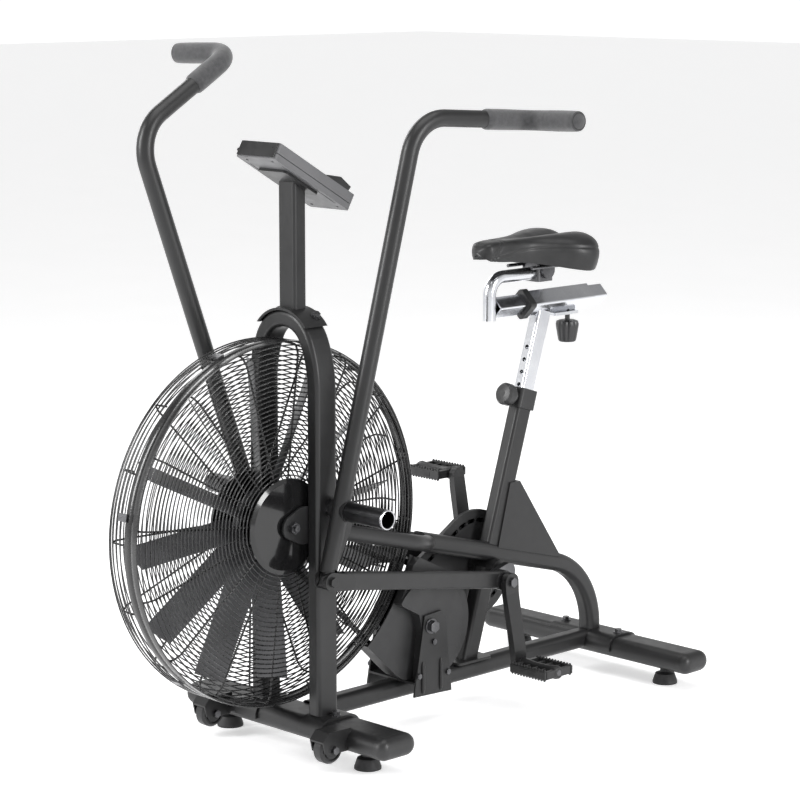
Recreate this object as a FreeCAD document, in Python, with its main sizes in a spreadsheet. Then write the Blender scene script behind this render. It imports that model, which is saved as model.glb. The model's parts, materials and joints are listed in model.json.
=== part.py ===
import FreeCAD, Part
import math
import os
import re
import Sketcher
from FreeCAD import Placement, Rotation, Vector

# A fan-braked exercise bike with swinging arms. Millimetres, +Z up. The origin is on the
# floor under the middle of the bike. The rider sits at +Y and faces -Y, so +X is the
# rider's left. Distances named "..._back" are measured from the fan axle towards the rider.

doc = FreeCAD.newDocument("AirBike")
sheet = doc.addObject("Spreadsheet::Sheet", "Sizes")

SIZES = [
    # stations
    ("fan_y", -299.9, "fan axle, along Y"),
    ("fan_z", 436, "fan axle height"),
    ("leg_back", 63, "middle of the hoop legs"),
    ("leg_x", 78, "middle of a hoop leg"),
    ("crank_back", 578, "crank spindle"),
    ("crank_z", 257, "crank spindle height"),
    ("shaft_back", 355, "jack shaft"),
    ("shaft_z", 190, "jack shaft height"),
    ("rear_back", 892, "rear stabilizer"),
    ("front_back", 69, "front stabilizer"),
    ("stab_z", 55, "middle of both stabilizers"),
    ("seat_back", 572, "seat tube axis at spindle height"),
    ("seat_tilt", 17.4, "seat tube, degrees back from upright"),
    ("frame_slope", 14.9, "main tube, degrees down towards the rear"),
    ("frame_z", 289, "main tube axis above the spindle"),
    ("main_front", 384, "front end of the main tube"),
    ("main_rear", 884, "where the main tube stands upright"),
    ("main_bend", 158, "radius of the main tube's rear bend"),
    # frame tubes
    ("tube_wall", 2, "wall of the frame tubes"),
    ("hoop_wide", 30, "hoop tube across X"),
    ("hoop_deep", 50, "hoop tube along Y"),
    ("hoop_corner", 8, "hoop tube corner radius"),
    ("hoop_foot_z", 81, "underside of the hoop legs"),
    ("hoop_bend_z", 683, "where the hoop legs start to lean in"),
    ("shoulder_bend", 200, "radius where the hoop leans in"),
    ("shoulder_turn", 25, "degrees that each leg leans in"),
    ("frame_tube", 37, "main and lower tubes, across"),
    ("frame_corner", 12, "main and lower tubes, corner radius"),
    ("stay_tube", 30, "diameter of the two stays round the fan"),
    ("stay_bend", 100, "radius of each stay's bend"),
    ("stay_turn", 40, "degrees that each stay turns in"),
    ("seat_wide", 30, "seat tube across X"),
    ("seat_deep", 40, "seat tube front to back"),
    ("seat_corner", 7, "seat tube corner radius"),
    ("front_wide", 90, "front stabilizer along Y"),
    ("rear_wide", 78, "rear stabilizer along Y"),
    ("stab_high", 42, "stabilizer height"),
    ("front_half", 250, "half the length of the front stabilizer"),
    ("rear_half", 258, "half the length of the rear stabilizer"),
    ("cap_long", 24, "rounded end cap beyond a stabilizer tube"),
    ("foot_front_x", 190, "levelling feet of the front stabilizer"),
    ("foot_rear_x", 198, "levelling feet of the rear stabilizer"),
    ("foot_dia", 50, "levelling foot base"),
    ("wheel_x", 163, "transport wheels"),
    ("wheel_back", -5, "transport wheel axle"),
    ("wheel_z", 47, "transport wheel axle height"),
    ("wheel_dia", 54, "transport wheel"),
    ("wheel_wide", 26, "transport wheel"),
    # fan and guard
    ("guard_dia", 671, "over the guard's rim"),
    ("guard_half", 50, "half the guard's depth"),
    ("guard_wire", 4, "guard wire"),
    ("guard_eye", 182, "opening of the guard's face round the disc"),
    ("disc_dia", 176, "guard centre disc"),
    ("blade_tip", 300, "fan blade tip radius"),
    ("blade_wide", 58, "fan blade width"),
    ("blade_pitch", 30, "degrees between a blade and the axle"),
    ("blade_count", 12, "fan blades"),
    ("hub_dia", 110, "fan hub"),
    # arms and linkage
    ("pivot_back", 71.7, "arm pivot axis"),
    ("pivot_z", 466, "arm pivot height"),
    ("arm_tube", 32, "arm tube diameter"),
    ("swing", 32.4, "degrees that an arm swings"),
    ("eye_ahead", 36.7, "arm's lower eye ahead of the pivot"),
    ("eye_below", 124.6, "arm's lower eye below the pivot"),
    ("grip_dia", 39, "foam grip"),
    ("peg_dia", 36, "foot peg"),
    ("peg_from", 143, "inner end of a foot peg"),
    ("peg_to", 240, "outer end of a foot peg"),
    ("throw", 38, "crank pin to spindle"),
    ("crank_long", 170, "pedal axle to spindle"),
    ("crank_lean", 9, "degrees that the left crank stands forward of straight down"),
    ("pin_drop", 10.5, "degrees that the left crank pin stands below straight ahead"),
    ("eye_x", 72, "middle of a rod's rear eye"),
    ("eye_wide", 22, "rod's rear eye, across"),
    ("eye_dia", 40, "rod's rear eye"),
    ("fork_x", 120, "middle of a rod's front fork"),
    ("rod_long", 513.6, "rod between its eyes"),
    # drive
    ("crank_teeth", 44, "crank sprocket"),
    ("small_teeth", 16, "each driven sprocket"),
    ("big_teeth", 48, "jack shaft's driving sprocket"),
    ("pitch", 12.7, "chain pitch"),
    ("chain_one_x", -40, "first chain's plane"),
    ("chain_two_x", 20, "second chain's plane"),
    # seat
    ("collar_from", 323, "collar's lower edge, along the seat tube"),
    ("collar_long", 36, "collar along the seat tube"),
    ("post_top", 500, "post's upper end, along the seat tube"),
    ("post_long", 330, "post length"),
    ("hole_pitch", 25.4, "post holes"),
    ("slide_z", 772, "seat slide's axis height"),
    ("sleeve_side", 38, "sleeve, square tube stood on its edge"),
    ("slide_side", 31, "sliding bar, square tube stood on its edge"),
    ("goose_dia", 25.4, "gooseneck tube"),
    ("saddle_wide", 212, "saddle"),
    # console
    ("mast_wide", 44, "mast across X"),
    ("mast_deep", 30, "mast along Y"),
    ("console_wide", 104, "console across X"),
    ("console_long", 207, "console along its face"),
    ("console_thick", 32, "console"),
    ("console_tilt", 30, "degrees that the console slopes down to the rider"),
]

for row, (alias, amount, note) in enumerate(SIZES, start=1):
    sheet.set(f"A{row}", note)
    sheet.set(f"B{row}", str(amount))
    sheet.setAlias(f"B{row}", alias)
doc.recompute()

ALIASES = {alias for alias, amount, note in SIZES}
WORD = re.compile(r"[a-z_]\w*")
PARTS = []
UP = Vector(0, 0, 1)
ALONG_X = Rotation(Vector(0, 1, 0), 90)
ALONG_Y = Rotation(Vector(1, 0, 0), -90)


# ---- expressions -------------------------------------------------------------------

def spelled(text):
    """An expression in the sheet's aliases, with the sheet's name before each alias."""
    return WORD.sub(lambda m: "Sizes." + m[0] if m[0] in ALIASES else m[0], str(text))


def value(text):
    return float(sheet.evalExpression(spelled(text)))


def bind(item, path, text):
    item.setExpression(path, spelled(text))


def place(item, x="0", y="0", z="0", rotation=None, tilt=None):
    """Put an item at a bound position. tilt is degrees about X, bound as well."""
    if tilt is not None:
        forward = value(tilt) < 0
        rotation = Rotation(Vector(-1 if forward else 1, 0, 0), abs(value(tilt)))
    item.Placement = Placement(Vector(value(x), value(y), value(z)), rotation or Rotation())
    if tilt is not None:
        bind(item, "Placement.Rotation.Angle", f"-({tilt})" if forward else tilt)
    for axis, text in zip("xyz", (x, y, z)):
        bind(item, f"Placement.Base.{axis}", text)
    return item


def keep(item, name):
    """Hand an item in as the sub-part of this name."""
    item.Label = name
    PARTS.append(item)
    return item


def span(sign, near, far):
    """The two X ends of a piece that lies between near and far on its side, lower first."""
    ends = (f"{sign}*({near})", f"{sign}*({far})")
    return ends if sign > 0 else ends[::-1]


# ---- Part primitives ---------------------------------------------------------------

def box(name, wide, deep, high, x="0", y="0", z="0"):
    """A block centred on a point."""
    item = doc.addObject("Part::Box", name)
    bind(item, "Length", wide)
    bind(item, "Width", deep)
    bind(item, "Height", high)
    return place(item, f"{x} - ({wide})/2", f"{y} - ({deep})/2", f"{z} - ({high})/2")


def rod(name, dia, start, end, at=("0", "0"), axis="X"):
    """A cylinder along X, Y or Z from start to end; at holds its other two coordinates."""
    item = doc.addObject("Part::Cylinder", name)
    bind(item, "Radius", f"({dia})/2")
    bind(item, "Height", f"({end}) - ({start})")
    first, second = at
    if axis == "X":
        return place(item, start, first, second, ALONG_X)
    if axis == "Y":
        return place(item, first, start, second, ALONG_Y)
    return place(item, first, second, start)


def hexagon(name, across, start, end, at=("0", "0"), axis="X"):
    """A hexagonal nut or bolt head, laid out as rod does."""
    item = doc.addObject("Part::Prism", name)
    item.Polygon = 6
    bind(item, "Circumradius", f"({across})/2/cos(30)")
    bind(item, "Height", f"({end}) - ({start})")
    first, second = at
    if axis == "X":
        return place(item, start, first, second, ALONG_X)
    if axis == "Y":
        return place(item, first, start, second, ALONG_Y)
    return place(item, first, second, start)


def joined(name, items):
    item = doc.addObject("Part::MultiFuse", name)
    item.Shapes = items
    return item


def less(name, base, tools):
    """The base with the tools cut away."""
    item = doc.addObject("Part::Cut", name)
    item.Base = base
    item.Tool = tools[0] if len(tools) == 1 else joined(name + "_tools", tools)
    return item


def held(name, items):
    """Items held as they stand to each other, so that they can be placed together."""
    item = doc.addObject("Part::Compound", name)
    item.Links = items
    return item


def group(name, items):
    """Separate solids that share one sub-part."""
    return keep(held(name, items), name)


# ---- Sketches ----------------------------------------------------------------------

def dimension(sketch, kind, refs, text):
    number = value(text)
    if kind == "Angle":
        number = math.radians(number)
    index = sketch.addConstraint(Sketcher.Constraint(kind, *refs, number))
    bind(sketch, f"Constraints[{index}]", text)


def pin_point(sketch, geometry, point, x, y):
    dimension(sketch, "DistanceX", (-1, 1, geometry, point), x)
    dimension(sketch, "DistanceY", (-1, 1, geometry, point), y)


def circle(sketch, dia, x="0", y="0"):
    centre = Vector(value(x), value(y), 0)
    index = sketch.addGeometry(Part.Circle(centre, UP, value(dia) / 2), False)
    dimension(sketch, "Diameter", (index,), dia)
    pin_point(sketch, index, 3, x, y)


def polygon(sketch, points):
    """A closed outline through points given as pairs of expressions."""
    spots = [Vector(value(x), value(y), 0) for x, y in points]
    first = len(sketch.Geometry)
    for index, spot in enumerate(spots):
        after = spots[(index + 1) % len(spots)]
        sketch.addGeometry(Part.LineSegment(spot, after), False)
    for index, (x, y) in enumerate(points):
        after = first + (index + 1) % len(points)
        sketch.addConstraint(Sketcher.Constraint("Coincident", first + index, 2, after, 1))
        pin_point(sketch, first + index, 1, x, y)


def rounded(sketch, wide, high, corner):
    """A rounded rectangle centred on the sketch's origin."""
    w, h, r = value(wide) / 2, value(high) / 2, value(corner)
    ends = [((r - w, -h), (w - r, -h)), ((w, r - h), (w, h - r)),
            ((w - r, h), (r - w, h)), ((-w, h - r), (-w, r - h))]
    middles = [(w - r, r - h), (w - r, h - r), (r - w, h - r), (r - w, r - h)]
    lines = [sketch.addGeometry(Part.LineSegment(Vector(*a, 0), Vector(*b, 0)), False)
             for a, b in ends]
    arcs = []
    for turn, middle in enumerate(middles):
        start = math.radians(90 * turn - 90)
        curve = Part.ArcOfCircle(Part.Circle(Vector(*middle, 0), UP, r), start, start + math.pi / 2)
        arcs.append(sketch.addGeometry(curve, False))
    for turn in range(4):
        after = lines[(turn + 1) % 4]
        sketch.addConstraint(Sketcher.Constraint("Tangent", lines[turn], 2, arcs[turn], 1))
        sketch.addConstraint(Sketcher.Constraint("Tangent", arcs[turn], 2, after, 1))
        level = "Vertical" if turn % 2 else "Horizontal"
        sketch.addConstraint(Sketcher.Constraint(level, lines[turn]))
    for arc in arcs[1:]:
        sketch.addConstraint(Sketcher.Constraint("Equal", arcs[0], arc))
    dimension(sketch, "Radius", (arcs[0],), corner)
    dimension(sketch, "DistanceX", (lines[3], 1, lines[1], 1), wide)
    dimension(sketch, "DistanceY", (lines[0], 1, lines[2], 1), high)
    sketch.addConstraint(Sketcher.Constraint("Symmetric", arcs[0], 3, arcs[2], 3, -1, 1))


def bent_line(sketch, steps):
    """Runs and tangent bends from the sketch's origin, starting along its +Y axis.

    ("run", length) goes straight; ("bend", radius, angle, side) turns left or right.
    """
    here, heading, before = Vector(), 90.0, None
    for step in steps:
        ahead = Vector(math.cos(math.radians(heading)), math.sin(math.radians(heading)), 0)
        if step[0] == "run":
            there = here + ahead * value(step[1])
            index = sketch.addGeometry(Part.LineSegment(here, there), False)
            dimension(sketch, "Distance", (index,), step[1])
            begin, end = 1, 2
        else:
            kind, radius, angle, side = step
            hand = 1 if side == "left" else -1
            centre = here + Vector(-ahead.y, ahead.x, 0) * hand * value(radius)
            start = math.degrees(math.atan2(here.y - centre.y, here.x - centre.x))
            stop = start + hand * value(angle)
            low, high = sorted((math.radians(start), math.radians(stop)))
            curve = Part.ArcOfCircle(Part.Circle(centre, UP, value(radius)), low, high)
            index = sketch.addGeometry(curve, False)
            dimension(sketch, "Radius", (index,), radius)
            dimension(sketch, "Angle", (index,), angle)
            tip = math.radians(stop)
            there = centre + Vector(math.cos(tip), math.sin(tip), 0) * value(radius)
            begin, end = (1, 2) if hand > 0 else (2, 1)
            heading += hand * value(angle)
        if before is None:
            sketch.addConstraint(Sketcher.Constraint("Coincident", index, begin, -1, 1))
            sketch.addConstraint(Sketcher.Constraint("Vertical", index))
        else:
            sketch.addConstraint(Sketcher.Constraint("Tangent", *before, index, begin))
        here, before = there, (index, end)


# ---- PartDesign bodies ---------------------------------------------------------------

def new_body(name):
    return doc.addObject("PartDesign::Body", name)


def sketch_on(body, role, lift=None):
    """A sketch on one of the body's origin planes, lifted off it when lift is given."""
    sketch = body.newObject("Sketcher::SketchObject", body.Name + "_sketch")
    plane = next(item for item in body.Origin.OriginFeatures if item.Role == role)
    sketch.AttachmentSupport = [(plane, "")]
    sketch.MapMode = "FlatFace"
    if lift is not None:
        bind(sketch, "AttachmentOffset.Base.z", lift)
    return sketch


def pad(body, sketch, length, middle=True, kind="PartDesign::Pad"):
    feature = body.newObject(kind, body.Name + "_pad")
    feature.Profile = sketch
    bind(feature, "Length", length)
    if middle:
        feature.SideType = "Symmetric"
    return feature


def plate(name, role, points, thick, holes=()):
    """A flat plate with a polygon outline, its middle on the plane, with round holes."""
    body = new_body(name)
    sketch = sketch_on(body, role)
    polygon(sketch, points)
    for dia, x, y in holes:
        circle(sketch, dia, x, y)
    pad(body, sketch, thick)
    return body


def bar(name, wide, high, corner, length, wall=None, middle=True, role="XY_Plane"):
    """A rounded rectangular bar square to the plane, hollow when it has a wall."""
    body = new_body(name)
    sketch = sketch_on(body, role)
    rounded(sketch, wide, high, corner)
    if wall is not None:
        rounded(sketch, f"{wide} - 2*({wall})", f"{high} - 2*({wall})", f"{corner} - ({wall})")
    pad(body, sketch, length, middle)
    return body


def bent_bar(name, draw, steps, role="XZ_Plane"):
    """The section that draw makes, swept along a bent line in the plane."""
    body = new_body(name)
    section = sketch_on(body, "XY_Plane")
    draw(section)
    path = sketch_on(body, role)
    bent_line(path, steps)
    pipe = body.newObject("PartDesign::AdditivePipe", name + "_pipe")
    pipe.Profile = section
    pipe.Spine = (path, [f"Edge{number + 1}" for number in range(len(steps))])
    return body


def turned(name, points):
    """A solid of revolution about its own Z; points are (radius, height) pairs."""
    body = new_body(name)
    sketch = sketch_on(body, "XZ_Plane")
    polygon(sketch, points)
    feature = body.newObject("PartDesign::Revolution", name + "_turn")
    feature.Profile = sketch
    feature.ReferenceAxis = (sketch, ["V_Axis"])
    feature.Angle = 360
    return body


def around(body, feature, count):
    """Repeat a feature evenly round the body's own Z."""
    pattern = body.newObject("PartDesign::PolarPattern", body.Name + "_around")
    axis = next(item for item in body.Origin.OriginFeatures if item.Role == "Z_Axis")
    pattern.Originals = [feature]
    pattern.Axis = (axis, [""])
    pattern.Angle = 360
    bind(pattern, "Occurrences", count)
    body.Tip = pattern
    return pattern


def link(name, first, second, start, end):
    """A plate across X with two round ends, each a (diameter, y, z) triple."""
    body = new_body(name)
    sketch = sketch_on(body, "YZ_Plane", start)
    (d1, y1, z1), (d2, y2, z2) = first, second
    one, two = Vector(value(y1), value(z1), 0), Vector(value(y2), value(z2), 0)
    r1, r2 = value(d1) / 2, value(d2) / 2
    along = math.atan2(two.y - one.y, two.x - one.x)
    open_angle = math.acos((r1 - r2) / one.distanceToPoint(two))
    left, right = along + open_angle, along - open_angle + 2 * math.pi
    arcs = []
    for centre, radius, start_angle, end_angle in (
            (one, r1, left, right), (two, r2, right - 2 * math.pi, left)):
        curve = Part.ArcOfCircle(Part.Circle(centre, UP, radius), start_angle, end_angle)
        arcs.append(sketch.addGeometry(curve, False))
    spot = [sketch.Geometry[arc] for arc in arcs]
    for (a, end_a, edge_a), (b, end_b, edge_b) in (
            ((0, 2, spot[0].EndPoint), (1, 1, spot[1].StartPoint)),
            ((1, 2, spot[1].EndPoint), (0, 1, spot[0].StartPoint))):
        line = sketch.addGeometry(Part.LineSegment(edge_a, edge_b), False)
        sketch.addConstraint(Sketcher.Constraint("Tangent", arcs[a], end_a, line, 1))
        sketch.addConstraint(Sketcher.Constraint("Tangent", line, 2, arcs[b], end_b))
    for arc, dia, y, z in ((arcs[0], d1, y1, z1), (arcs[1], d2, y2, z2)):
        dimension(sketch, "Radius", (arc,), f"({dia})/2")
        pin_point(sketch, arc, 3, y, z)
    pad(body, sketch, f"({end}) - ({start})", middle=False)
    return body


# ---- Bent tubes in space --------------------------------------------------------------

def bent_wire(points, radii):
    """Straight runs through points, joined by tangent arcs of the radii."""
    edges, here = [], points[0]
    for before, corner, after, radius in zip(points, points[1:], points[2:], radii):
        into = (corner - before).normalize()
        out = (after - corner).normalize()
        turn = into.getAngle(out)
        cut = radius * math.tan(turn / 2)
        start, end = corner - into * cut, corner + out * cut
        inward = (out - into).normalize()
        middle = corner + inward * (radius / math.cos(turn / 2) - radius)
        edges.append(Part.LineSegment(here, start).toShape())
        edges.append(Part.Arc(start, middle, end).toShape())
        here = end
    edges.append(Part.LineSegment(here, points[-1]).toShape())
    return Part.Wire(edges)


def swept_round(points, radii, dia):
    """A round bar along a bent wire."""
    wire = bent_wire(points, radii)
    ahead = points[1] - points[0]
    section = Part.Wire([Part.Circle(points[0], ahead, dia / 2).toShape()])
    return wire.makePipeShell([section], True, False)


# ---- Frame ---------------------------------------------------------------------------

ARCH = "((leg_x - shoulder_bend*(1 - cos(shoulder_turn)))/cos(shoulder_turn))"
ARCH_Z = f"(hoop_bend_z + (shoulder_bend - {ARCH})*sin(shoulder_turn))"
FIT = "0.2"
SIDES = (("left", 1), ("right", -1))
BOLTS = []


def on_frame(item, x, along, offset="0"):
    """Stand an item on the main tube's axis, its Z down the slope from above the spindle."""
    y = f"fan_y + crank_back + ({along})*cos(frame_slope) - ({offset})*sin(frame_slope)"
    z = f"frame_z - ({along})*sin(frame_slope) - ({offset})*cos(frame_slope)"
    return place(item, x, y, z, tilt="-90 - frame_slope")


def on_seat(item, along):
    """Stand an item on the seat tube's axis, its Z up the axis from spindle height."""
    y = f"fan_y + seat_back + ({along})*sin(seat_tilt)"
    z = f"crank_z + ({along})*cos(seat_tilt)"
    return place(item, "0", y, z, tilt="-seat_tilt")


def flat_oval(name, wide, high, length, wall=None):
    """A flat oval bar along X."""
    return bar(name, wide, high, f"({high})/2 - 0.5", length, wall, role="YZ_Plane")


def main_blank(name):
    """The main tube's straight outline, a little large, for cutting what is welded to it."""
    blank = bar(name, f"frame_tube + {FIT}", f"frame_tube + {FIT}", "frame_corner", "420", middle=False)
    return on_frame(blank, "0", "(main_front - crank_back)/cos(frame_slope) - 0.1")


def shell_blank(name):
    return rod(name, f"40 + {FIT}", "-60", "60", ("fan_y + crank_back", "crank_z"))


def make_stabilizer(end, back, wide, half, foot_x):
    tube = flat_oval(f"{end}_oval", wide, "stab_high", f"2*({half})", "tube_wall")
    place(tube, y=f"fan_y + {back}", z="stab_z")
    at = {side: (f"{sign}*({foot_x})", f"fan_y + {back}") for side, sign in SIDES}
    holes = [rod(f"{end}_{side}_hole", "10.6", "stab_z - stab_high", "stab_z", at[side], "Z")
             for side, sign in SIDES]
    drilled = less(f"{end}_stabilizer_tube", tube, holes)

    cap = new_body(f"{end}_cap")
    sketch = sketch_on(cap, "YZ_Plane")
    rounded(sketch, wide, "stab_high", "stab_high/2 - 0.5")
    block = pad(cap, sketch, "cap_long", middle=False)
    doc.recompute()
    faces = block.Shape.Faces
    outer = max(range(len(faces)), key=lambda number: faces[number].CenterOfMass.x)
    rim = cap.newObject("PartDesign::Fillet", f"{end}_cap_round")
    rim.Base = (block, [f"Face{outer + 1}"])
    bind(rim, "Radius", "stab_high/2 - 4")
    place(cap, half, f"fan_y + {back}", "stab_z")
    other = doc.addObject("Part::Mirroring", f"{end}_cap_right")
    other.Source = cap
    other.Normal = Vector(1, 0, 0)

    for side, sign in SIDES:
        foot = turned(f"foot_{end}_{side}", [
            ("0", "0"), ("foot_dia/2", "0"), ("foot_dia/2", "4"), ("foot_dia/2 - 5.5", "20"),
            ("10", "23"), ("10", "stab_z - stab_high/2"), ("5", "stab_z - stab_high/2"),
            ("5", "stab_z - stab_high/2 + 10"), ("0", "stab_z - stab_high/2 + 10")])
        keep(place(foot, *at[side]), f"foot_{end}_{side}")
    return drilled, [cap, other]


def saddle_plate(name, wide, thick, length, back, x="0"):
    """A plate bent over a stabilizer, flat on its top and just clear of its round sides."""
    body = new_body(name + "_wrap")
    sketch = sketch_on(body, "YZ_Plane")
    for extra in (f"0.6 + 2*{thick}", "0.6"):
        corner = f"(stab_high + {extra})/2 - 0.5"
        rounded(sketch, f"{wide} + {extra}", f"stab_high + {extra}", corner)
    pad(body, sketch, length)
    place(body, x, f"fan_y + {back}", "stab_z - 0.3")
    below = box(name + "_below", "2*front_half", f"2*{wide}", "stab_high", x, f"fan_y + {back}",
                "stab_z - stab_high/2 - 6")
    return less(name + "_cut", body, [below])


def make_stabilizers():
    front, front_caps = make_stabilizer("front", "front_back", "front_wide", "front_half", "foot_front_x")
    rear, rear_caps = make_stabilizer("rear", "rear_back", "rear_wide", "rear_half", "foot_rear_x")
    group("front_stabilizer", [front] + [make_wheel(side, sign) for side, sign in SIDES])
    keep(rear, "rear_stabilizer")
    group("stabilizer_caps", front_caps + rear_caps)
    keep(saddle_plate("cradle", "rear_wide", "4", "170", "rear_back"), "rear_cradle")
    for number, (x, back, top) in enumerate((
            ("106", "front_back", "stab_z + 26"), ("-106", "front_back", "stab_z + 26"),
            ("72", "rear_back", "stab_z + 25"), ("-72", "rear_back", "stab_z + 25"))):
        at = (x, f"fan_y + {back}")
        washer = rod(f"stab_washer_{number}", "20", top, f"{top} + 1.6", at, "Z")
        head = hexagon(f"stab_head_{number}", "13", f"{top} + 1.6", f"{top} + 8", at, "Z")
        BOLTS.append(joined(f"stab_bolt_{number}", [washer, head]))


def make_hoop():
    def section(sketch):
        rounded(sketch, "hoop_wide", "hoop_deep", "hoop_corner")
        rounded(sketch, "hoop_wide - 2*tube_wall", "hoop_deep - 2*tube_wall", "hoop_corner - tube_wall")

    leg = ("run", "hoop_bend_z - hoop_foot_z")
    lean = ("bend", "shoulder_bend", "shoulder_turn", "left")
    top = ("bend", ARCH, "180 - 2*shoulder_turn", "left")
    hoop = bent_bar("hoop_tube", section, [leg, lean, top, lean, leg])
    place(hoop, "leg_x", "fan_y + leg_back", "hoop_foot_z")
    pieces = [hoop]
    for side, sign in SIDES:
        foot = saddle_plate(f"hoop_foot_{side}", "front_wide", "5", "58", "front_back", f"{sign}*89")
        lug = link(f"axle_lug_{side}", ("44", "0", "0"), ("70", "30", "0"),
                   *span(sign, "leg_x - hoop_wide/2", "leg_x - hoop_wide/2 + 5"))
        place(lug, y="fan_y", z="fan_z")
        leg = box(f"axle_lug_leg_{side}", "80", "60", "160", f"{sign}*leg_x",
                  "fan_y + leg_back - hoop_deep/2 + 30", "fan_z")
        bore = rod(f"axle_lug_bore_{side}", "12", "-100", "100", ("fan_y", "fan_z"))
        pieces += [foot, less(f"axle_bracket_{side}", lug, [leg, bore])]
    group("hoop", pieces)


def make_main_tube():
    def section(sketch):
        rounded(sketch, "frame_tube", "frame_tube", "frame_corner")
        inner = "frame_tube - 2*tube_wall"
        rounded(sketch, inner, inner, "frame_corner - tube_wall")

    tangent = "main_bend*tan((90 - frame_slope)/2)"
    upright = f"frame_z - (main_rear - crank_back)*tan(frame_slope) - {tangent} - stab_z - 18"
    steps = [
        ("run", f"(main_rear - main_front)/cos(frame_slope) - {tangent}"),
        ("bend", "main_bend", "90 - frame_slope", "right"),
        ("run", upright)]
    tube = bent_bar("main_pipe", section, steps, "YZ_Plane")
    on_frame(tube, "0", "(main_front - crank_back)/cos(frame_slope)")
    high = f"stab_high + 8.6 + {FIT}"
    cradle = flat_oval("main_cradle_blank", f"rear_wide + 8.6 + {FIT}", high, "120")
    place(cradle, y="fan_y + rear_back", z="stab_z - 0.3")
    coped = less("main_tube_coped", tube, [cradle, shell_blank("main_shell_blank")])
    nose = bar("main_nose", "frame_tube - 2*tube_wall", "frame_tube - 2*tube_wall",
               "frame_corner - tube_wall", "4", middle=False)
    on_frame(nose, "0", "(main_front - crank_back)/cos(frame_slope)")
    keep(joined("main_tube_whole", [coped, nose]), "main_tube")


def make_stays():
    def section(sketch):
        circle(sketch, "stay_tube")
        circle(sketch, "stay_tube - 2*tube_wall")

    reach = "leg_x - stay_bend*(1 - cos(stay_turn)) - 8"
    for side, sign in SIDES:
        turn = "left" if sign > 0 else "right"
        steps = [("run", "218"), ("bend", "stay_bend", "stay_turn", turn),
                 ("run", f"({reach})/sin(stay_turn)")]
        stay = bent_bar(f"stay_{side}_pipe", section, steps)
        on_frame(stay, f"{sign}*leg_x", "(leg_back + hoop_deep/2 - crank_back)/cos(frame_slope) - 14")
        leg = box(f"stay_{side}_leg", "hoop_wide + 20", "hoop_deep", "200", f"{sign}*leg_x",
                  "fan_y + leg_back", "pivot_z - 30")
        middle = box(f"stay_{side}_middle", "60.1", "200", "200", f"{-sign}*30",
                     "fan_y + main_front", "frame_z + 40")
        tools = [leg, middle, main_blank(f"stay_{side}_main")]
        keep(less(f"stay_{side}_coped", stay, tools), f"stay_{side}")


def make_lower_tube():
    tube = bar("lower_pipe", "frame_tube", "frame_tube", "frame_corner", "rear_back - front_back - 60",
               "tube_wall", role="XZ_Plane")
    place(tube, y="fan_y + (rear_back + front_back)/2", z="stab_z + 7")
    front = flat_oval("lower_front_blank", f"front_wide + {FIT}", f"stab_high + {FIT}", "120")
    place(front, y="fan_y + front_back", z="stab_z")
    rear = flat_oval("lower_rear_blank", f"rear_wide + 8.6 + {FIT}", f"stab_high + 8.6 + {FIT}", "120")
    place(rear, y="fan_y + rear_back", z="stab_z - 0.3")
    keep(less("lower_tube_coped", tube, [front, rear]), "lower_tube")


def make_seat_mast():
    at = ("fan_y + crank_back", "crank_z")
    shell = rod("spindle_shell", "40", "-34", "34", at)
    bored = less("shell_bored", shell, [rod("shell_bore", "20.1", "-40", "40", at)])
    support = bar("support_pipe", "seat_wide", "seat_deep", "seat_corner", "190", "tube_wall", middle=False)
    on_seat(support, "-190")
    foot_z = "stab_z + 7 + frame_tube/2"
    below = box("support_below", "80", "160", "40", "0", "fan_y + 517", f"{foot_z} + 5 - 20")
    tools = [below, shell_blank("support_shell"), main_blank("support_main")]
    flange = bar("support_flange", "58", "92", "8", "5", middle=False)
    place(flange, y="fan_y + 517", z=foot_z)
    group("seat_support", [less("support_coped", support, tools), flange, bored])

    tube = bar("seat_pipe", "seat_wide", "seat_deep", "seat_corner", "356 - 34", "tube_wall", middle=False)
    on_seat(tube, "34")
    pin_hole = rod("seat_pin_hole", "9.4", "0", "60", ("0", "0"), "Z")
    place(pin_hole, "0", "fan_y + seat_back + 342*sin(seat_tilt)", "crank_z + 342*cos(seat_tilt)",
          tilt="90 - seat_tilt")
    coped = less("seat_tube_coped", tube, [main_blank("seat_main"), pin_hole])

    folded = [("589", "292"), ("774", "244"), ("652 + 117", "257"), ("652", "423"), ("624", "423")]
    hollow = [("500", "200"), ("805.4", "200"), ("579.8", "520"), ("500", "520")]
    sheet_metal = plate("gusset_sheet", "YZ_Plane", folded, "seat_wide + 6")
    inside = plate("gusset_inside", "YZ_Plane", hollow, "seat_wide")
    for item in (sheet_metal, inside):
        place(item, y="fan_y")
    gusset = less("gusset_folded", sheet_metal, [inside, main_blank("gusset_main")])
    group("seat_tube", [coped, gusset])


# ---- Mast and console ------------------------------------------------------------------

KEY_X = (-26, 0, 26)
CONSOLE_BACK = "75"
CONSOLE_Z = "1061"


def on_console(item):
    """Tilt an item that is laid out about the console's middle, its face up."""
    return place(item, "0", f"fan_y + {CONSOLE_BACK}", CONSOLE_Z, tilt="-console_tilt")


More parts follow.
